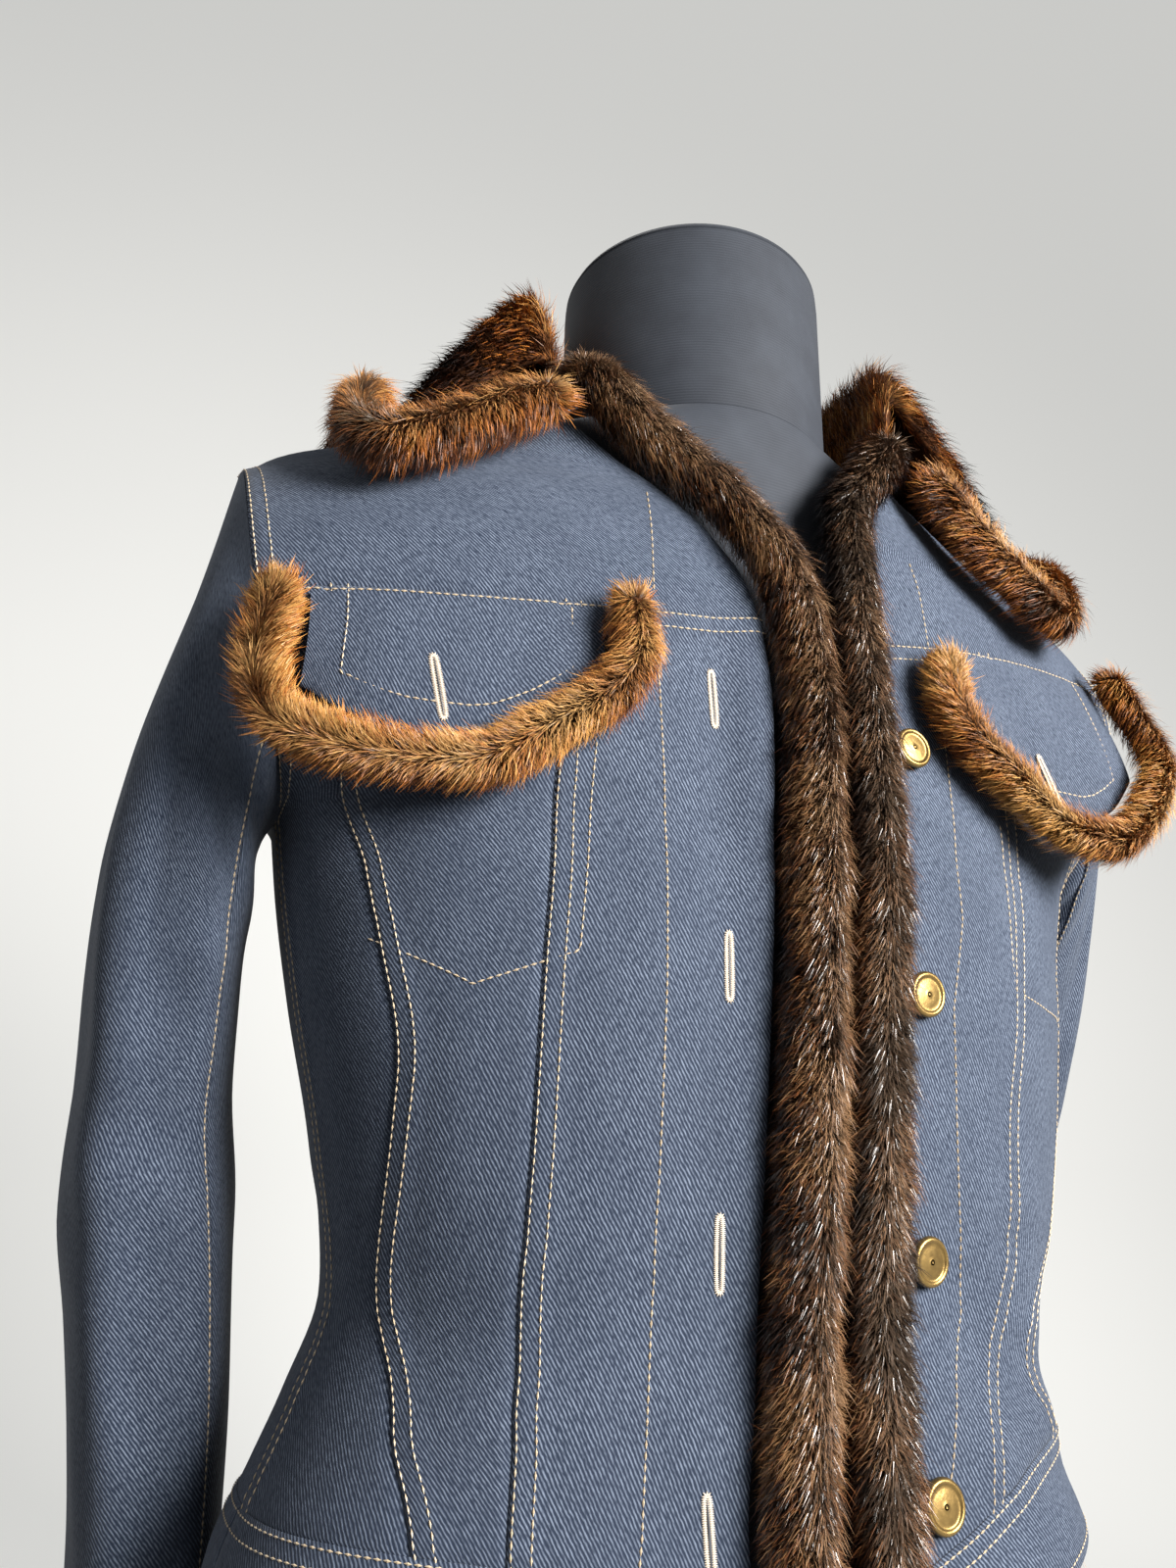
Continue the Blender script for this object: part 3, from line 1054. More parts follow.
sewn("buttonhole_edges", [hole_line(*hole, HOLE_WIDTH * 0.72, HOLE_LENGTH - 2) for hole in HOLES],
     0.6, 2.1, 0.72, math.pi / 2, pale_thread, 0.4)
slit_material, slit_tree, slit_shader = new_material("buttonhole_slit")
slit_place = node(slit_tree, "ShaderNodeTexCoord").outputs["Object"]
slit_tree.links.new(mixed(slit_tree, noise(slit_tree, slit_place, 700.0), (0.006, 0.008, 0.012), (0.02, 0.024, 0.034)),
                    slit_shader.inputs["Base Color"])
for k, hole in enumerate(HOLES):
    rim = hole_line(*hole, 1.2, HOLE_LENGTH - 5)
    top = rim[0][:-1] + rim[1][:-1] * 0.42
    count = len(top)
    below = top - rim[1][:-1] * 0.3
    faces = [list(range(count)), list(range(count, 2 * count))[::-1]]
    faces += [[j, j + count, (j + 1) % count + count, (j + 1) % count] for j in range(count)]
    slit = make_mesh(f"buttonhole_slit_{k + 1}", np.concatenate([top, below]), faces, [slit_material])
    if slit.data.polygons[0].normal.dot(Vector(rim[1][0].tolist())) < 0:
        slit.data.flip_normals()
    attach(slit, "root")

# %% [markdown]
# ## Buttons
# A jacket button is a pressed brass shell on a short shank. It is turned from one profile, with a plain
# bead round its rim and a shallow dish inside it. The lettering of the real ones is left out.

# %% Buttons
def brass_material():
    material, tree, shader = new_material("aged_brass")
    place = node(tree, "ShaderNodeTexCoord").outputs["Object"]
    worn = noise(tree, place, 420.0, 3.0, 0.6)
    tree.links.new(mixed(tree, worn, (0.13, 0.08, 0.028), (0.33, 0.22, 0.075)), shader.inputs["Base Color"])
    shader.inputs["Metallic"].default_value = 0.9
    shader.inputs["Roughness"].default_value = 0.36
    bump(tree, shader, worn, 0.25, 0.0004)
    return material


BUTTONS = [[50, 205], [44, 106], [40, 14], [37, -60]]
BUTTON_PROFILE = [(3, 0), (3, 1.2), (7.4, 1.3), (8.1, 1.6), (8.5, 2.2), (8.5, 2.9), (8.3, 3.5), (7.9, 3.95),
                  (7.4, 4.15), (6.9, 4.1), (6.5, 3.8), (6.2, 3.5), (5.8, 3.42), (5.0, 3.5), (4.2, 3.6),
                  (3.2, 3.7), (2.2, 3.76), (1.0, 3.8)]
aged_brass = brass_material()
for k, (x, at) in enumerate(BUTTONS):
    place, facing = (v.reshape(3) for v in body_place(angle_of(x, at), at))
    seat = place + facing * 0.4
    level = unit(np.cross(facing, [0, 0, 1]))
    upward = np.cross(level, facing)
    turn = np.linspace(0, 2 * np.pi, 56, endpoint=False)[:, None]
    rings = [seat + (np.cos(turn) * level + np.sin(turn) * upward) * r + facing * h for r, h in BUTTON_PROFILE]
    count = len(rings) * 56
    points = np.concatenate([*rings, [seat, seat + facing * 3.82]])
    ring = np.arange(56)
    fans = [[count, int(j), int((j + 1) % 56)] for j in ring]
    fans += [[count + 1, count - 56 + int((j + 1) % 56), count - 56 + int(j)] for j in ring]
    button = make_mesh(f"button_{k + 1}_shell", points, [*grid_faces(len(rings), 56, round_cols=True).tolist(), *fans],
                       [aged_brass])
    turned_out = sum(p.normal.dot(p.center - Vector(metres(seat + facing * 2)[0].tolist())) * p.area
                     for p in button.data.polygons)
    if turned_out < 0:
        button.data.flip_normals()
    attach(button, "root")
    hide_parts(f"button_{k + 1}")
print("buttons:", len(BUTTONS))

# %% [markdown]
# ## Fur colours
# The pile is dark brown at its roots and turns rust, gold or taupe towards its tips, in soft patches as
# on a pelt. A hair particle shader would not survive the export, so every hair is a thin blade of mesh
# that carries three numbers: how near its tip a point is, the hair's own tone, and where on the roll it
# grows. The material mixes its colours from these and from a coarse noise for the patches.

# %% Fur material
def number(tree, label):
    return node(tree, "ShaderNodeAttribute", {"attribute_name": label}).outputs["Fac"]


def fur_material(name, stops, root, parting, share, gloss, shine, patch=38.0):
    """stops are the patch colours, root the shade at the skin, parting the colour along the ridge."""
    material, tree, shader = new_material(name)
    place = node(tree, "ShaderNodeTexCoord").outputs["Object"]
    patches = noise(tree, place, patch, 2.0, 0.55)
    tone = number(tree, "tone")
    spread = sums(tree, "ADD", patches, sums(tree, "MULTIPLY", sums(tree, "SUBTRACT", tone, 0.5), 0.34))
    zone = sums(tree, "ADD", spread, number(tree, "zone"))
    body = ramp(tree, zone, stops)
    parted = mixed(tree, sums(tree, "MULTIPLY", number(tree, "ridge"), sums(tree, "MULTIPLY", patches, share)), body,
                   parting)
    tip = ramp(tree, number(tree, "tip"), [(0.0, (0, 0, 0)), (0.55, (0.75, 0.75, 0.75)), (1.0, (1, 1, 1))])
    tree.links.new(mixed(tree, tip, root, parted), shader.inputs["Base Color"])
    shader.inputs["Roughness"].default_value = gloss
    shader.inputs["Specular IOR Level"].default_value = shine
    return material


dark_fur = fur_material(
    "dark_fur", [(0.40, (0.012, 0.006, 0.004)), (0.49, (0.045, 0.020, 0.012)), (0.57, (0.19, 0.062, 0.018)),
                 (0.68, (0.30, 0.16, 0.07))], (0.007, 0.004, 0.003), (0.27, 0.18, 0.115), share=0.9, gloss=0.28, shine=0.5)
rust_fur = fur_material(
    "rust_fur", [(0.22, (0.020, 0.008, 0.005)), (0.40, (0.16, 0.042, 0.008)), (0.54, (0.50, 0.155, 0.022)),
                 (0.74, (0.66, 0.33, 0.085))], (0.028, 0.010, 0.004), (0.42, 0.30, 0.15), share=0.7, gloss=0.42, shine=0.25)


def skin_material(name, colour, other):
    material, tree, shader = new_material(name)
    place = node(tree, "ShaderNodeTexCoord").outputs["Object"]
    tree.links.new(mixed(tree, noise(tree, place, 90.0, 3.0), colour, other), shader.inputs["Base Color"])
    shader.inputs["Roughness"].default_value = 0.9
    shader.inputs["Specular IOR Level"].default_value = 0.1
    return material


dark_skin = skin_material("dark_fur_backing", (0.010, 0.006, 0.004), (0.03, 0.016, 0.010))
rust_skin = skin_material("rust_fur_backing", (0.035, 0.014, 0.006), (0.09, 0.032, 0.010))
print("fur colours ready")

# %% [markdown]
# ## Growing the pile
# Hairs repeat by the ten thousand, which is what Geometry Nodes are for. The tree scatters points over the
# backing, bends one small blade, and sets a copy on every point. Each hair leans along the nap that the
# backing carries, a coarse noise gathers neighbours into tufts, and a random turn keeps them from
# matching. Sizes are named inputs, and the seed is fixed so that every run gives the same pelt.

# %% The pile tree
PILE_INPUTS = [("Density", "Float"), ("Length", "Float"), ("Width", "Float"), ("Lift", "Float"),
               ("Mess", "Float"), ("Tuft", "Float"), ("Curl", "Float"), ("Seed", "Int"), ("Fur", "Material")]


def pile_tree(joints):
    tree = bpy.data.node_groups.new(f"pile_{joints}", "GeometryNodeTree")
    tree.interface.new_socket("Geometry", in_out="INPUT", socket_type="NodeSocketGeometry")
    for name, kind in PILE_INPUTS:
        tree.interface.new_socket(name, in_out="INPUT", socket_type=f"NodeSocket{kind}")
    tree.interface.new_socket("Geometry", in_out="OUTPUT", socket_type="NodeSocketGeometry")
    given = tree.nodes.new("NodeGroupInput").outputs
    closing = tree.nodes.new("NodeGroupOutput")

    def named(label, kind="FLOAT"):
        return node(tree, "GeometryNodeInputNamedAttribute", {"data_type": kind}, {"Name": label}).outputs[0]

    def vector(operation, first, second=None, scale=None):
        made = node(tree, "ShaderNodeVectorMath", {"operation": operation}, links={0: first})
        if second is not None:
            tree.links.new(second, made.inputs[1])
        if scale is not None:
            tree.links.new(scale, made.inputs["Scale"])
        return made.outputs[0]

    thick = sums(tree, "MULTIPLY", given["Density"], named("cover"))
    scatter = node(tree, "GeometryNodeDistributePointsOnFaces", {"distribute_method": "RANDOM"},
                   links={"Mesh": given["Geometry"], "Density": thick, "Seed": given["Seed"]})
    tone = node(tree, "FunctionNodeRandomValue", {"data_type": "FLOAT"}, links={"Seed": given["Seed"]}).outputs[1]
    toned = node(tree, "GeometryNodeStoreNamedAttribute", {"data_type": "FLOAT", "domain": "POINT"},
                 {"Name": "tone"}, {"Geometry": scatter.outputs["Points"], "Value": tone}).outputs[0]
    chance = node(tree, "FunctionNodeRandomValue", {"data_type": "FLOAT_VECTOR"},
                  {"Min": (-1, -1, -1), "Max": (1, 1, 1)}, {"Seed": given["Seed"]}).outputs[0]
    cloud = node(tree, "ShaderNodeTexNoise", values={"Scale": 150.0, "Detail": 1.0}).outputs["Color"]
    centred = node(tree, "ShaderNodeVectorMath", {"operation": "SUBTRACT"}, {1: (0.5, 0.5, 0.5)}, {0: cloud}).outputs[0]
    upright = vector("SCALE", scatter.outputs["Normal"], scale=given["Lift"])
    flat = sums(tree, "SUBTRACT", 1.0, given["Lift"])
    lean = vector("SCALE", named("lay", "FLOAT_VECTOR"), scale=flat)
    way = vector("ADD", vector("ADD", upright, lean), vector("SCALE", chance, scale=given["Mess"]))
    way = vector("ADD", way, vector("SCALE", centred, scale=given["Tuft"]))
    stand = node(tree, "FunctionNodeAlignRotationToVector", {"axis": "Z"}, links={"Vector": way}).outputs[0]
    turn = node(tree, "FunctionNodeAlignRotationToVector", {"axis": "Y", "pivot_axis": "Z"},
                links={"Rotation": stand, "Vector": named("lay", "FLOAT_VECTOR")}).outputs[0]

    blade = node(tree, "GeometryNodeMeshGrid", values={"Size X": 1.0, "Size Y": 1.0, "Vertices X": 2,
                                                       "Vertices Y": joints}).outputs["Mesh"]
    spot = node(tree, "ShaderNodeSeparateXYZ", links={0: node(tree, "GeometryNodeInputPosition").outputs[0]}).outputs
    up = sums(tree, "ADD", spot["Y"], 0.5)
    tipped = node(tree, "GeometryNodeStoreNamedAttribute", {"data_type": "FLOAT", "domain": "POINT"},
                  {"Name": "tip"}, {"Geometry": blade, "Value": up}).outputs[0]
    taper = sums(tree, "SUBTRACT", 1.0, sums(tree, "POWER", up, 1.5))
    across = sums(tree, "MULTIPLY", sums(tree, "MULTIPLY", spot["X"], given["Width"]), taper)
    bent = sums(tree, "MULTIPLY", sums(tree, "MULTIPLY", sums(tree, "POWER", up, 2.0), given["Length"]), given["Curl"])
    tall = sums(tree, "MULTIPLY", given["Length"], sums(
        tree, "MULTIPLY", up, sums(tree, "SUBTRACT", 1.0, sums(tree, "MULTIPLY", up, 0.22))))
    shape = node(tree, "ShaderNodeCombineXYZ", links={"X": across, "Y": bent, "Z": tall}).outputs[0]
    pointed = node(tree, "GeometryNodeSetPosition", links={"Geometry": tipped, "Position": shape}).outputs[0]
    hair = node(tree, "GeometryNodeMergeByDistance", values={"Distance": 0.00001},
                links={"Geometry": pointed}).outputs[0]
    size = node(tree, "FunctionNodeRandomValue", {"data_type": "FLOAT"}, {2: 0.62, 3: 1.22, "Seed": 5}).outputs[1]
    placed = node(tree, "GeometryNodeInstanceOnPoints",
                  links={"Points": toned, "Instance": hair, "Rotation": turn, "Scale": size}).outputs[0]
    real = node(tree, "GeometryNodeRealizeInstances", links={"Geometry": placed}).outputs[0]
    coloured = node(tree, "GeometryNodeSetMaterial", links={"Geometry": real, "Material": given["Fur"]}).outputs[0]
    tree.links.new(coloured, closing.inputs[0])
    return tree


PILE_TREES = {joints: pile_tree(joints) for joints in (2, 3)}
hair_count = {}


def grow_pile(backing, name, fur, coats, seed):
    for k, (label, joints, density, length, width, lift, mess, tuft, curl) in enumerate(coats):
        pile = grown(backing, PILE_TREES[joints], f"{name}_{label}", {
            "Density": density, "Length": length / 1000, "Width": width / 1000, "Lift": lift, "Mess": mess,
            "Tuft": tuft, "Curl": curl, "Seed": seed + k, "Fur": fur})
        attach(pile, "root")
        hair_count[pile.name] = len(pile.data.polygons)
    print(name, "faces of pile:", {n: c for n, c in hair_count.items() if n.startswith(name)})


# %% [markdown]
# ## Rolled fur
# The trim is a strip of pelt rolled along an edge. It is swept along the edge's own line, a little uneven
# as a soft roll is. The hair parts along the roll's ridge and lies outwards and down its length, so the
# nap is worked out for every point of the backing and kept on it.

# %% Swept rolls
def resampled(points, normals, spacing):
    reach = np.concatenate([[0], np.cumsum(np.linalg.norm(np.diff(points, axis=0), axis=1))])
    tangent = np.gradient(points, reach, axis=0)
    places = np.linspace(0, reach[-1], int(reach[-1] / spacing) + 1)
    k = np.clip(np.searchsorted(reach, places, side="right") - 1, 0, len(reach) - 2)
    span = (reach[k + 1] - reach[k])[:, None]
    t = ((places - reach[k]) / span[:, 0])[:, None]
    path = ((2 * t ** 3 - 3 * t ** 2 + 1) * points[k] + (t ** 3 - 2 * t ** 2 + t) * span * tangent[k]
            + (3 * t ** 2 - 2 * t ** 3) * points[k + 1] + (t ** 3 - t ** 2) * span * tangent[k + 1])
    return path, unit(normals[k] * (1 - t) + normals[k + 1] * t)


def unevenness(s, seed, amount):
    return amount * (np.sin(s / 9.1 + seed) + np.sin(s / 5.3 + 2.1 * seed) + np.sin(s / 16.7 + 0.7 * seed)) / 3


def roll(name, points, normals, radius, seed, skin, run, bare=2.3, zone=None, ridge_at=0.0, slot="rust_fur"):
    """run is how far the hair leans along the roll (+ towards its end) against across it."""
    path, facing = resampled(np.asarray(points), np.asarray(normals), 4.0)
    ahead = unit(np.gradient(path, axis=0))
    side = unit(np.cross(ahead, facing))
    up = np.cross(side, ahead)
    inside = radius * 0.68
    count = 26
    turn = np.linspace(0, 2 * np.pi, count, endpoint=False)       # 0 at the ridge, growing towards side
    s = lengths(path[:, None], 0)[:, 0]
    caps = [(0.28, -0.66), (0.66, -0.52), (0.9, -0.28)]
    order = [(0, *c) for c in caps] + [(k, 1.0, 0.0) for k in range(len(path))]
    order += [(len(path) - 1, scale, -push) for scale, push in caps[::-1]]
    rings, lays, ridges, zones = [], [], [], []
    for k, scale, push in order:
        round_ = np.cos(turn)[:, None] * up[k] + np.sin(turn)[:, None] * side[k]
        wide = inside * scale * (1 + unevenness(s[k] + 6 * np.sin(turn), seed, 0.09))
        rings.append(path[k] + ahead[k] * push * radius + round_ * wide[:, None])
        away = np.cos(turn)[:, None] * side[k] - np.sin(turn)[:, None] * up[k]
        part = turn - ridge_at - 2 * np.pi * np.round((turn - ridge_at) / (2 * np.pi))
        fall = np.tanh(part / 0.22)[:, None]
        end = -np.sign(push) if push < 0 else np.sign(push)
        along = run if push == 0 else (run if abs(run) > 0 else 0)
        outward = ahead[k] * (np.sign(push) * 1.6 if push else 0)
        lays.append(unit(away * fall * 0.55 + ahead[k] * along + outward))
        ridges.append(np.exp(-((part / 0.62) ** 2)))
        zones.append(zone(s[k] / s[-1], part) if zone else np.zeros(count))
    outer = np.array(rings)
    centre = outer.mean(axis=1, keepdims=True)
    inner = centre + (outer - centre) * 0.74
    rows = len(order)
    faces, _ = wall_faces(rows, count, round_cols=True)
    facing_in = np.clip((np.cos(turn) + 0.78) / 0.5, 0, 1)
    cover = np.tile(facing_in, (rows, 1))
    lay = np.concatenate([np.array(lays).reshape(-1, 3)] * 2)
    numbers = {"lay": lay, "ridge": np.tile(np.array(ridges).ravel(), 2), "zone": np.tile(np.array(zones).ravel(), 2),
               "cover": np.concatenate([cover.ravel(), np.zeros(rows * count)])}
    pair = np.concatenate([outer.reshape(-1, 3), inner.reshape(-1, 3)])
    a, b, c = (pair[faces[:, k]] for k in (0, 1, 2))
    if np.einsum("ij,ij->i", a, np.cross(b, c)).sum() < 0:
        faces = faces[:, ::-1]
    piece = make_mesh(f"{name}_backing", pair, faces, [skin], numbers=numbers)
    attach(piece, "root")
    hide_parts(name)
    closed = np.concatenate([outer, outer[:, :1]], axis=1)
    declare_cut(closed)
    return piece


def front_roll_line(side):
    heights = np.arange(-118, 350.5, 6.0)
    x = curve(FRONT_EDGE[side])
    point, normal = body_place(angle_of(side * x(heights), heights), heights)
    rise = np.clip((heights - ARM_HIGH) / (350 - ARM_HIGH), 0, 1)
    lift = NECK_LIFT * rise * rise * (3 - 2 * rise)
    middle = point + normal * (FRONT_FUR_OUT - side + lift)[:, None]
    return middle[::-1], normal[::-1]                              # from the collar down


# %% Fur down the fronts
def front_zone(along, part):
    return 0.05 * np.sin(along * 31) + 0.04 * np.cos(part) + 0.06


def shaded_zone(along, part):
    return front_zone(along, part) - 0.20



COATS_FRONT = [("undercoat", 2, 2400000, 6.8, 0.55, 0.62, 0.40, 1.2, 0.2),
               ("guard_hair", 3, 900000, 10.5, 0.42, 0.52, 0.36, 1.2, 0.4)]
for side, word in ((-1, "right"), (1, "left")):
    points, normals = front_roll_line(side)
    backing = roll(f"front_fur_{word}", points, normals, FRONT_FUR, 1.0 + side, dark_skin, 0.9, zone=front_zone if side < 0 else shaded_zone,
                   slot="dark_fur", ridge_at=0.25 * side)
    grow_pile(backing, f"front_fur_{word}", dark_fur, COATS_FRONT, 10 + side)

# %% [markdown]
# ## The fur collar
# The collar is a pelt sewn to the neckline, standing up and folding over. Its middle layer runs from the
# neck seam up to the roll and down to the outer edge, so a smooth curve through five points makes each
# line of it, and the lines are laid side by side from the right front round the back to the left front.

# %% Collar tables
COLLAR_NAMES = ["row", "neckAngle", "neckAt", "rollOut", "rollUp", "edgeBehind", "edgeX", "edgeAt", "crown"]
COLLAR_BACK = [[128, 372, 12, 52, 1, 96, 329, 9], [153, 372, 12, 50, 1, 54, 322, 8], [180, 372, 12, 49, 1, 0, 319, 8]]
COLLAR = {
    -1: [[66, 360, 12, 12, 0, 129, 331, 5], [70, 364, 13, 26, 0, 140, 323, 7], [77, 368, 13, 46, 0, 138, 328, 12],
         [91, 372, 12, 56, 0, 127, 337, 12], [108, 372, 12, 56, 1, 112, 338, 10], *COLLAR_BACK],
    1: [[58, 360, 10, 38, 0, 124, 304, 9], [63, 364, 11, 54, 0, 128, 309, 11], [73, 369, 12, 63, 0, 130, 319, 12],
        [90, 372, 12, 62, 0, 124, 337, 12], [108, 372, 12, 57, 1, 112, 338, 10], *COLLAR_BACK],
}
COLLAR_EDGE_BACK = [[1, 157, 329], [1, 146, 325], [1, 124, 318], [1, 98, 312], [1, 70, 308], [1, 36, 305], [1, 0, 304]]
COLLAR_EDGE = {
    -1: [[0, 101, 327], [0, 111, 320], [0, 123, 312], [0, 137, 303], [0, 151, 295], [0, 161, 291], [0, 168, 293],
         [0, 170, 302], [0, 168, 312], [0, 164, 321], [0, 160, 328], *COLLAR_EDGE_BACK],
    1: [[0, 83, 337], [0, 89, 329], [0, 97, 317], [0, 108, 304], [0, 122, 293], [0, 134, 285], [0, 144, 284],
        [0, 151, 290], [0, 156, 300], [0, 160, 311], [0, 162, 321], [0, 160, 328], *COLLAR_EDGE_BACK],
}
EDGE_FUR, EDGE_STAND, COLLAR_PILE = 12.0, 3.2, 12.0


def through(points, v):
    """Centripetal curve through points (a list of arrays), at the places v from 0 to 1."""
    last = len(points) - 1
    path = [2 * points[0] - points[1], *points, 2 * points[last] - points[last - 1]]
    made = []
    for place in v:
        k = min(int(place * last), last - 1)
        t = place * last - k
        p0, p1, p2, p3 = path[k:k + 4]
        d0, d1, d2 = (np.maximum(((b - a) ** 2).sum(-1, keepdims=True) ** 0.25, 1e-3)
                      for a, b in ((p0, p1), (p1, p2), (p2, p3)))
        first = ((p1 - p0) / d0 - (p2 - p0) / (d0 + d1) + (p2 - p1) / d1) * d1
        second = ((p2 - p1) / d1 - (p3 - p1) / (d1 + d2) + (p3 - p2) / d2) * d1
        made.append(p1 + first * t + (3 * (p2 - p1) - 2 * first - second) * t ** 2
                    + (2 * (p1 - p2) + first + second) * t ** 3)
    return np.stack(made, 1)


def collar_half(side, rows, v):
    table = [[k, *row] for k, row in enumerate(COLLAR[side])]
    value = {name: curve(table, k) for k, name in enumerate(COLLAR_NAMES) if k > 0}
    reach = np.array([[k, abs(float(angle_of(side * row[5], row[6], row[4] == 1)))]
                      for k, row in enumerate(COLLAR[side])])
    edge_angle = side * curve(reach)(rows)
    ring = {name: f(rows)[:, None] for name, f in value.items()}
    turn = side * np.radians(ring["neckAngle"][:, 0])
    out = np.stack([np.sin(turn), -np.cos(turn), 0 * turn], -1)
    rise = np.array([0, 0, 1.0])
    start = body_point(turn, ring["neckAt"][:, 0]) + out * 2 + rise * 3
    fold = start + out * ring["rollOut"] + rise * ring["rollUp"]
    point, normal = body_place(edge_angle, ring["edgeAt"][:, 0])
    end = point + normal * (COLLAR_PILE / 2 + 6)
    belly = (fold + end) / 2 + rise * ring["crown"]
    return through([start, start + (fold - start) * 0.55, fold, belly, end], v)


# %% Collar
v_places = np.linspace(0, 1, 40)
rows = np.linspace(0, 7, 71)
middle = np.concatenate([collar_half(-1, rows, v_places), collar_half(1, rows, v_places)[-2::-1]])
normal = unit(np.cross(np.gradient(middle, axis=0), np.gradient(middle, axis=1)))
if normal[70, 20, 2] < 0:
    normal = -normal
swell = 1 + unevenness(lengths(middle, 0) + 9 * np.sin(lengths(middle, 1) / 17), 3.0, 0.5)
outer, inner = middle + normal * (1.2 * swell)[..., None], middle - normal * 2.6
fall = unit(np.gradient(middle, axis=1))
lay = unit(fall + 0.25 * normal)
stand_share = v_places[None, :] + 0 * middle[..., 0]
zone = 0.16 * np.exp(-(((stand_share - 0.50) / 0.10) ** 2)) - 0.34 * np.exp(-(((stand_share - 0.86) / 0.10) ** 2))
zone -= 0.05 + 0.10 * np.exp(-(((stand_share - 0.66) / 0.05) ** 2))
faces, _ = wall_faces(*middle.shape[:2])
pair = np.concatenate([outer.reshape(-1, 3), inner.reshape(-1, 3)])
a, b, c = (pair[faces[:, k]] for k in (0, 1, 2))
if np.einsum("ij,ij->i", a, np.cross(b, c)).sum() < 0:
    faces = faces[:, ::-1]
cover = np.concatenate([(0.4 + 0.6 * np.clip(stand_share / 0.3, 0, 1)).ravel(), 0.1 * np.ones(middle[..., 0].size)])
collar = make_mesh("collar_backing", pair, faces, [rust_skin], numbers={
    "lay": np.concatenate([lay.reshape(-1, 3)] * 2), "cover": cover, "zone": np.tile(zone.ravel(), 2),
    "ridge": np.tile(np.exp(-(((stand_share - 0.47) / 0.05) ** 2)).ravel() * 0.7, 2)})
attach(collar, "root")
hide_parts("collar")
declare_cut(middle)
COATS_COLLAR = [("undercoat", 2, 560000, 8.0, 0.75, 0.50, 0.30, 0.9, 0.2),
                ("guard_hair", 3, 270000, 13.5, 0.58, 0.50, 0.30, 1.1, 0.4)]
grow_pile(collar, "collar", rust_fur, COATS_COLLAR, 40)

# %% Rolled edge of the collar
def collar_edge_line():
    halves = {side: [(side * float(angle_of(row[1], row[2], row[0] == 1)), row[2]) for row in COLLAR_EDGE[side]]
              for side in (-1, 1)}
    line = halves[-1] + halves[1][:-1][::-1]
    angle, at = np.array(line).T
    point, facing = body_place(angle, at)
    return point + facing * (EDGE_FUR + EDGE_STAND), facing


def edge_zone(along, part):
    return 0.05 - 0.12 * np.clip(-part, 0, 1) + 0.05 * np.sin(along * 47)


points, normals = collar_edge_line()
edge = roll("collar_edge", points, normals, EDGE_FUR, 5.0, rust_skin, 0.25, zone=edge_zone)
COATS_TRIM = [("undercoat", 2, 1500000, 7.0, 0.60, 0.55, 0.30, 0.9, 0.2),
              ("guard_hair", 3, 600000, 11.5, 0.48, 0.50, 0.30, 1.1, 0.4)]
grow_pile(edge, "collar_edge", rust_fur, COATS_TRIM, 50)

# %% [markdown]
# ## Fur cuffs
# A cuff is a straight band of pelt round the end of the sleeve, its hair lying towards the hand.

# %% Cuffs
CUFF_PILE, CUFF_END, CUFF_TOP = 11.0, -178.0, {-1: -114.0, 1: -101.0}


def wrist_place(side, at):
    last, before = SLEEVE[side][-1][1], SLEEVE[side][-2][1]
    return SLEEVE_LAST - (at - last) / (before - last)


COATS_CUFF = [("undercoat", 2, 600000, 7.0, 0.70, 0.55, 0.32, 1.1, 0.2),
              ("guard_hair", 3, 300000, 12.0, 0.56, 0.48, 0.30, 1.1, 0.4)]
for side, word in ((-1, "right"), (1, "left")):
    first, last = wrist_place(side, CUFF_TOP[side]), wrist_place(side, CUFF_END)
    share = np.linspace(0, 1, 18)[:, None]
    turn = np.linspace(0, 2 * np.pi, 72, endpoint=False)[None, :] * (-side)
    along = first + (last - first) * share
    plump = np.clip(np.minimum(share, 1 - share) / 0.14, 0, 1) ** 0.5
    level = LAY_ON + 1.2 + (CUFF_PILE * 0.42) * plump * (1 + unevenness(60 * turn, 2.0, 0.3))
    outer = sleeve_point(side, turn, along, level)
    inner = sleeve_point(side, turn, along, LAY_ON + 0 * level)
    fall = unit(np.gradient(outer, axis=0))
    faces, _ = wall_faces(*outer.shape[:2], round_cols=True)
    pair = np.concatenate([outer.reshape(-1, 3), inner.reshape(-1, 3)])
    a, b, c = (pair[faces[:, k]] for k in (0, 1, 2))
    if np.einsum("ij,ij->i", a, np.cross(b, c)).sum() < 0:
        faces = faces[:, ::-1]
    flat_zone = 0.06 * np.sin(3 * turn + 8 * share) - 0.02
    cuff = make_mesh(f"cuff_{word}_backing", pair, faces, [rust_skin], numbers={
        "lay": np.concatenate([fall.reshape(-1, 3)] * 2), "zone": np.tile(flat_zone.ravel(), 2),
        "cover": np.concatenate([np.ones(outer[..., 0].size), np.zeros(outer[..., 0].size)]),
        "ridge": np.zeros(2 * outer[..., 0].size)})
    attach(cuff, "root")
    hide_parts(f"cuff_{word}")
    declare_cut(np.concatenate([outer, outer[:, :1]], axis=1))
    grow_pile(cuff, f"cuff_{word}", rust_fur, COATS_CUFF, 60 + side)

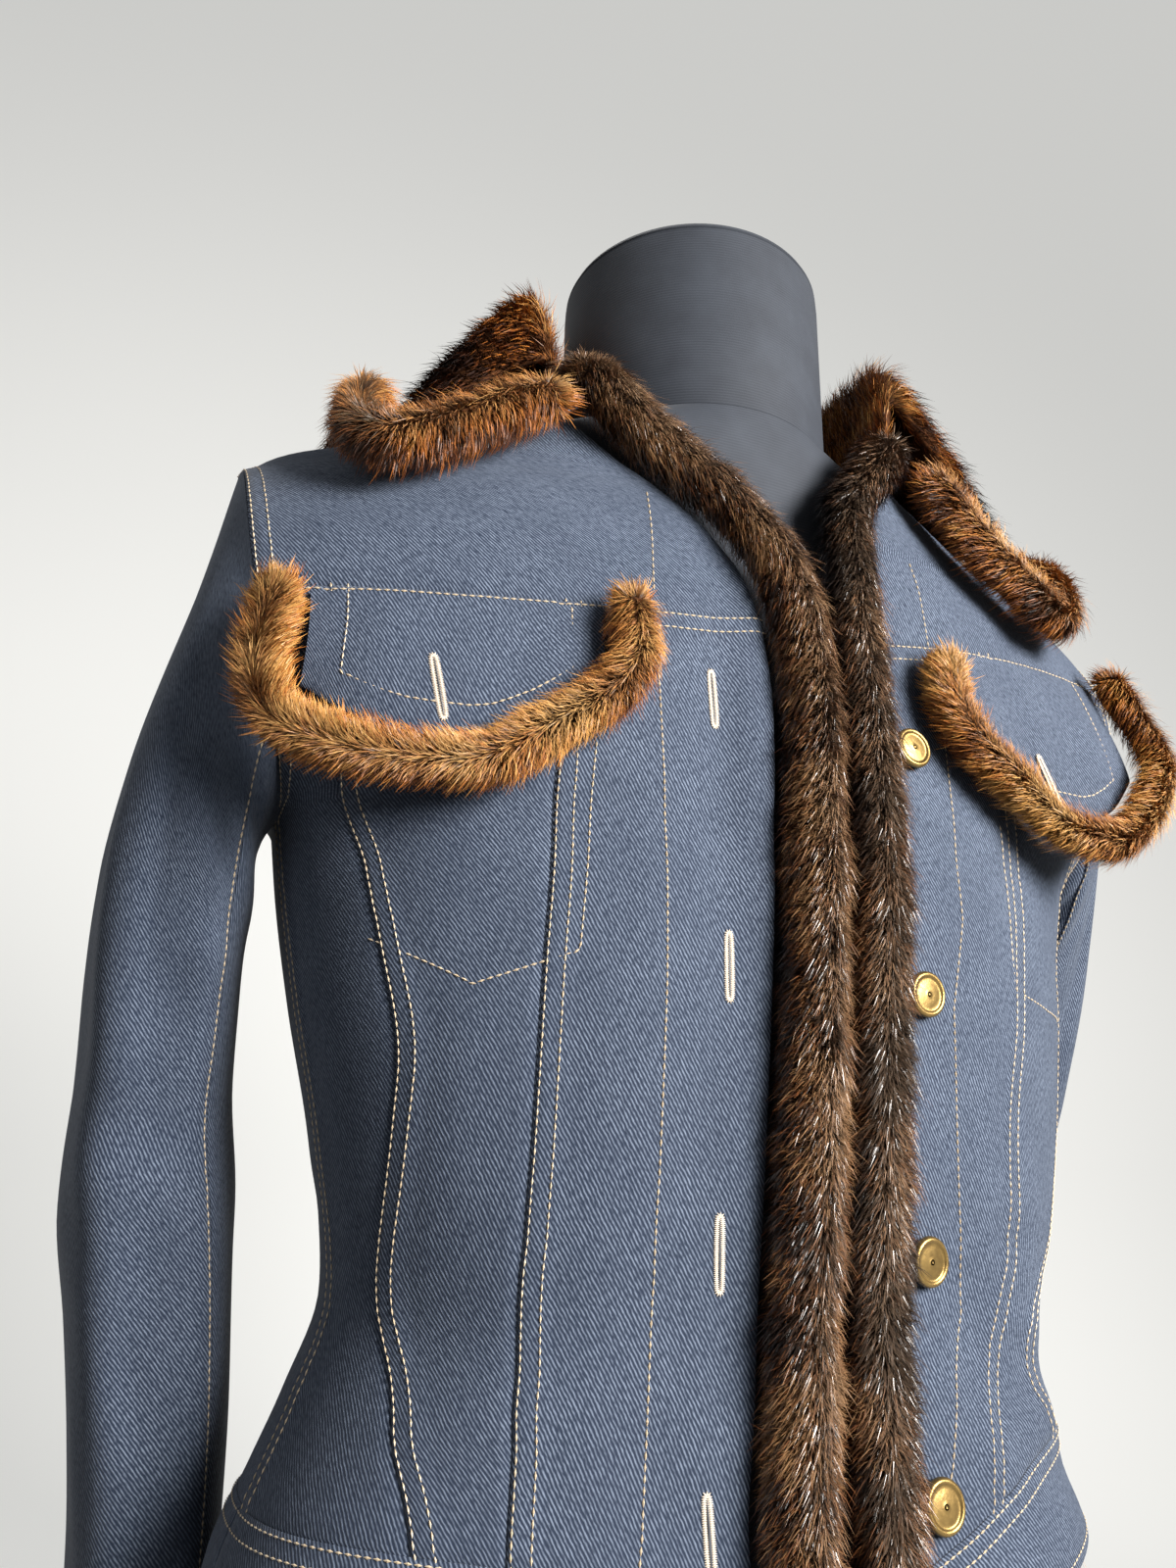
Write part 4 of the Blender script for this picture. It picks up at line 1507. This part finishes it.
# %% Fur round the pocket flaps
def flap_route(side):
    flap = FLAP[side]
    low = curve(flap["low"])
    inner, outer, away = flap["inner"], flap["outer"], FLAP_FUR - 1
    high_in = float(flap_top(side, inner)) - flap["ends"][0]
    high_out = float(flap_top(side, outer)) - flap["ends"][1]
    route = [[inner - away, at] for at in (high_in, low(inner) + 4)]
    route += [[x, low(x) - away - 0.6] for x in np.linspace(inner - 2, outer + 2, 8)]
    route += [[outer + away, at] for at in (low(outer) + 2, high_out)]
    x, at = np.array(route, float).T
    point, facing = flap_place(side, x, at)
    return point + facing * (FLAP_FUR - FLAP_THICK), facing


def flap_zone(along, part):
    return 0.09 + 0.08 * np.sin(along * 19 + 1) + 0.04 * np.cos(part)


COATS_FLAP = [("undercoat", 2, 2600000, 6.5, 0.55, 0.55, 0.30, 0.9, 0.2),
              ("guard_hair", 3, 1100000, 10.5, 0.44, 0.52, 0.32, 1.1, 0.4)]
for side, word in ((-1, "right"), (1, "left")):
    points, normals = flap_route(side)
    trim = roll(f"flap_fur_{word}", points, normals, FLAP_FUR, 7.0 + side, rust_skin, -0.5 * side, zone=flap_zone)
    grow_pile(trim, f"flap_fur_{word}", rust_fur, COATS_FLAP, 70 + side)

# %% [markdown]
# ## Floor, wall and light
# The photograph has a plain pale wall and soft daylight from the camera's right. One curved sheet makes
# floor and wall without a line between them, and large area lamps keep every shadow soft.

# %% Floor and wall
def stage_material():
    material, tree, shader = new_material("pale_wall")
    place = node(tree, "ShaderNodeTexCoord").outputs["Object"]
    cloudy = noise(tree, place, 1.4, 2.0)
    tree.links.new(mixed(tree, cloudy, (0.30, 0.30, 0.295), (0.36, 0.36, 0.35)), shader.inputs["Base Color"])
    shader.inputs["Roughness"].default_value = 0.9
    shader.inputs["Emission Color"].default_value = (0.98, 0.98, 0.95, 1)
    shader.inputs["Emission Strength"].default_value = 0.56
    return material


view_across = np.array([math.cos(CAMERA_YAW), -math.sin(CAMERA_YAW)])
view_ahead = np.array([math.sin(CAMERA_YAW), math.cos(CAMERA_YAW)])
profile = [(-1600, 0), (500, 0)]
profile += [(500 + 300 * math.sin(t), 300 - 300 * math.cos(t)) for t in np.linspace(0.1, math.pi / 2, 16)]
profile += [(800, 2600)]
sheet_points = np.array([[[*(view_ahead * d + view_across * w), h - WAIST] for w in (-2400, 2400)]
                         for d, h in profile])
backdrop = make_mesh("backdrop", sheet_points, grid_faces(len(profile), 2), [stage_material()])
backdrop.visible_diffuse = False          # the room is far larger than the sheet that stands for it
print("wall behind the object, mm:", profile[-1][0])

# %% Lamps
def lamp(name, place, aim, size, power, colour, spread=180):
    light = bpy.data.lights.new(name, "AREA")
    light.shape, light.size, light.energy, light.color = "SQUARE", size, power, colour
    light.spread = math.radians(spread)
    made = bpy.data.objects.new(name, light)
    bpy.context.scene.collection.objects.link(made)
    ahead = unit(np.array(aim, float) - np.array(place, float))
    level = unit(np.cross(ahead, [0, 0, 1]))
    axes = np.eye(4)
    axes[:3, 0], axes[:3, 1], axes[:3, 2], axes[:3, 3] = level, np.cross(level, ahead), -ahead, place
    made.matrix_world = Matrix(axes.tolist())
    made.visible_camera = False
    return made


lamp("window", (0.75, -1.45, 0.85), (0, 0, 0.38), 0.8, 18, (1.0, 0.98, 0.95), 70)
lamp("ceiling", (-0.3, -0.7, 1.9), (0, 0, 0.3), 1.4, 2, (0.96, 0.98, 1.0))
lamp("bounce", (-1.3, -0.7, 0.5), (0, 0, 0.3), 1.2, 0.8, (1.0, 0.98, 0.96))
lamp("wall_wash", (-0.9, 0.1, 1.0), (-0.2, 0.8, 0.3), 1.0, 2.5, (1.0, 1.0, 0.98))
world = bpy.data.worlds.new("room")
bpy.context.scene.world = world
world.use_nodes = True
world.node_tree.nodes["Background"].inputs[0].default_value = (0.92, 0.94, 0.95, 1)
world.node_tree.nodes["Background"].inputs[1].default_value = 0.08
bpy.context.scene.view_settings.view_transform = "Standard"
print("lamps placed")

# %% [markdown]
# ## Sizes and closing
# The visual model may stand only a little proud of the solids, so both boxes are written down.

# %% Sizes
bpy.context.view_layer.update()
shown = [o for o in bpy.context.scene.objects if o.type == "MESH" and not o.hide_render]
print("triangles:", sum(sum(len(f.vertices) - 2 for f in o.data.polygons) for o in shown))
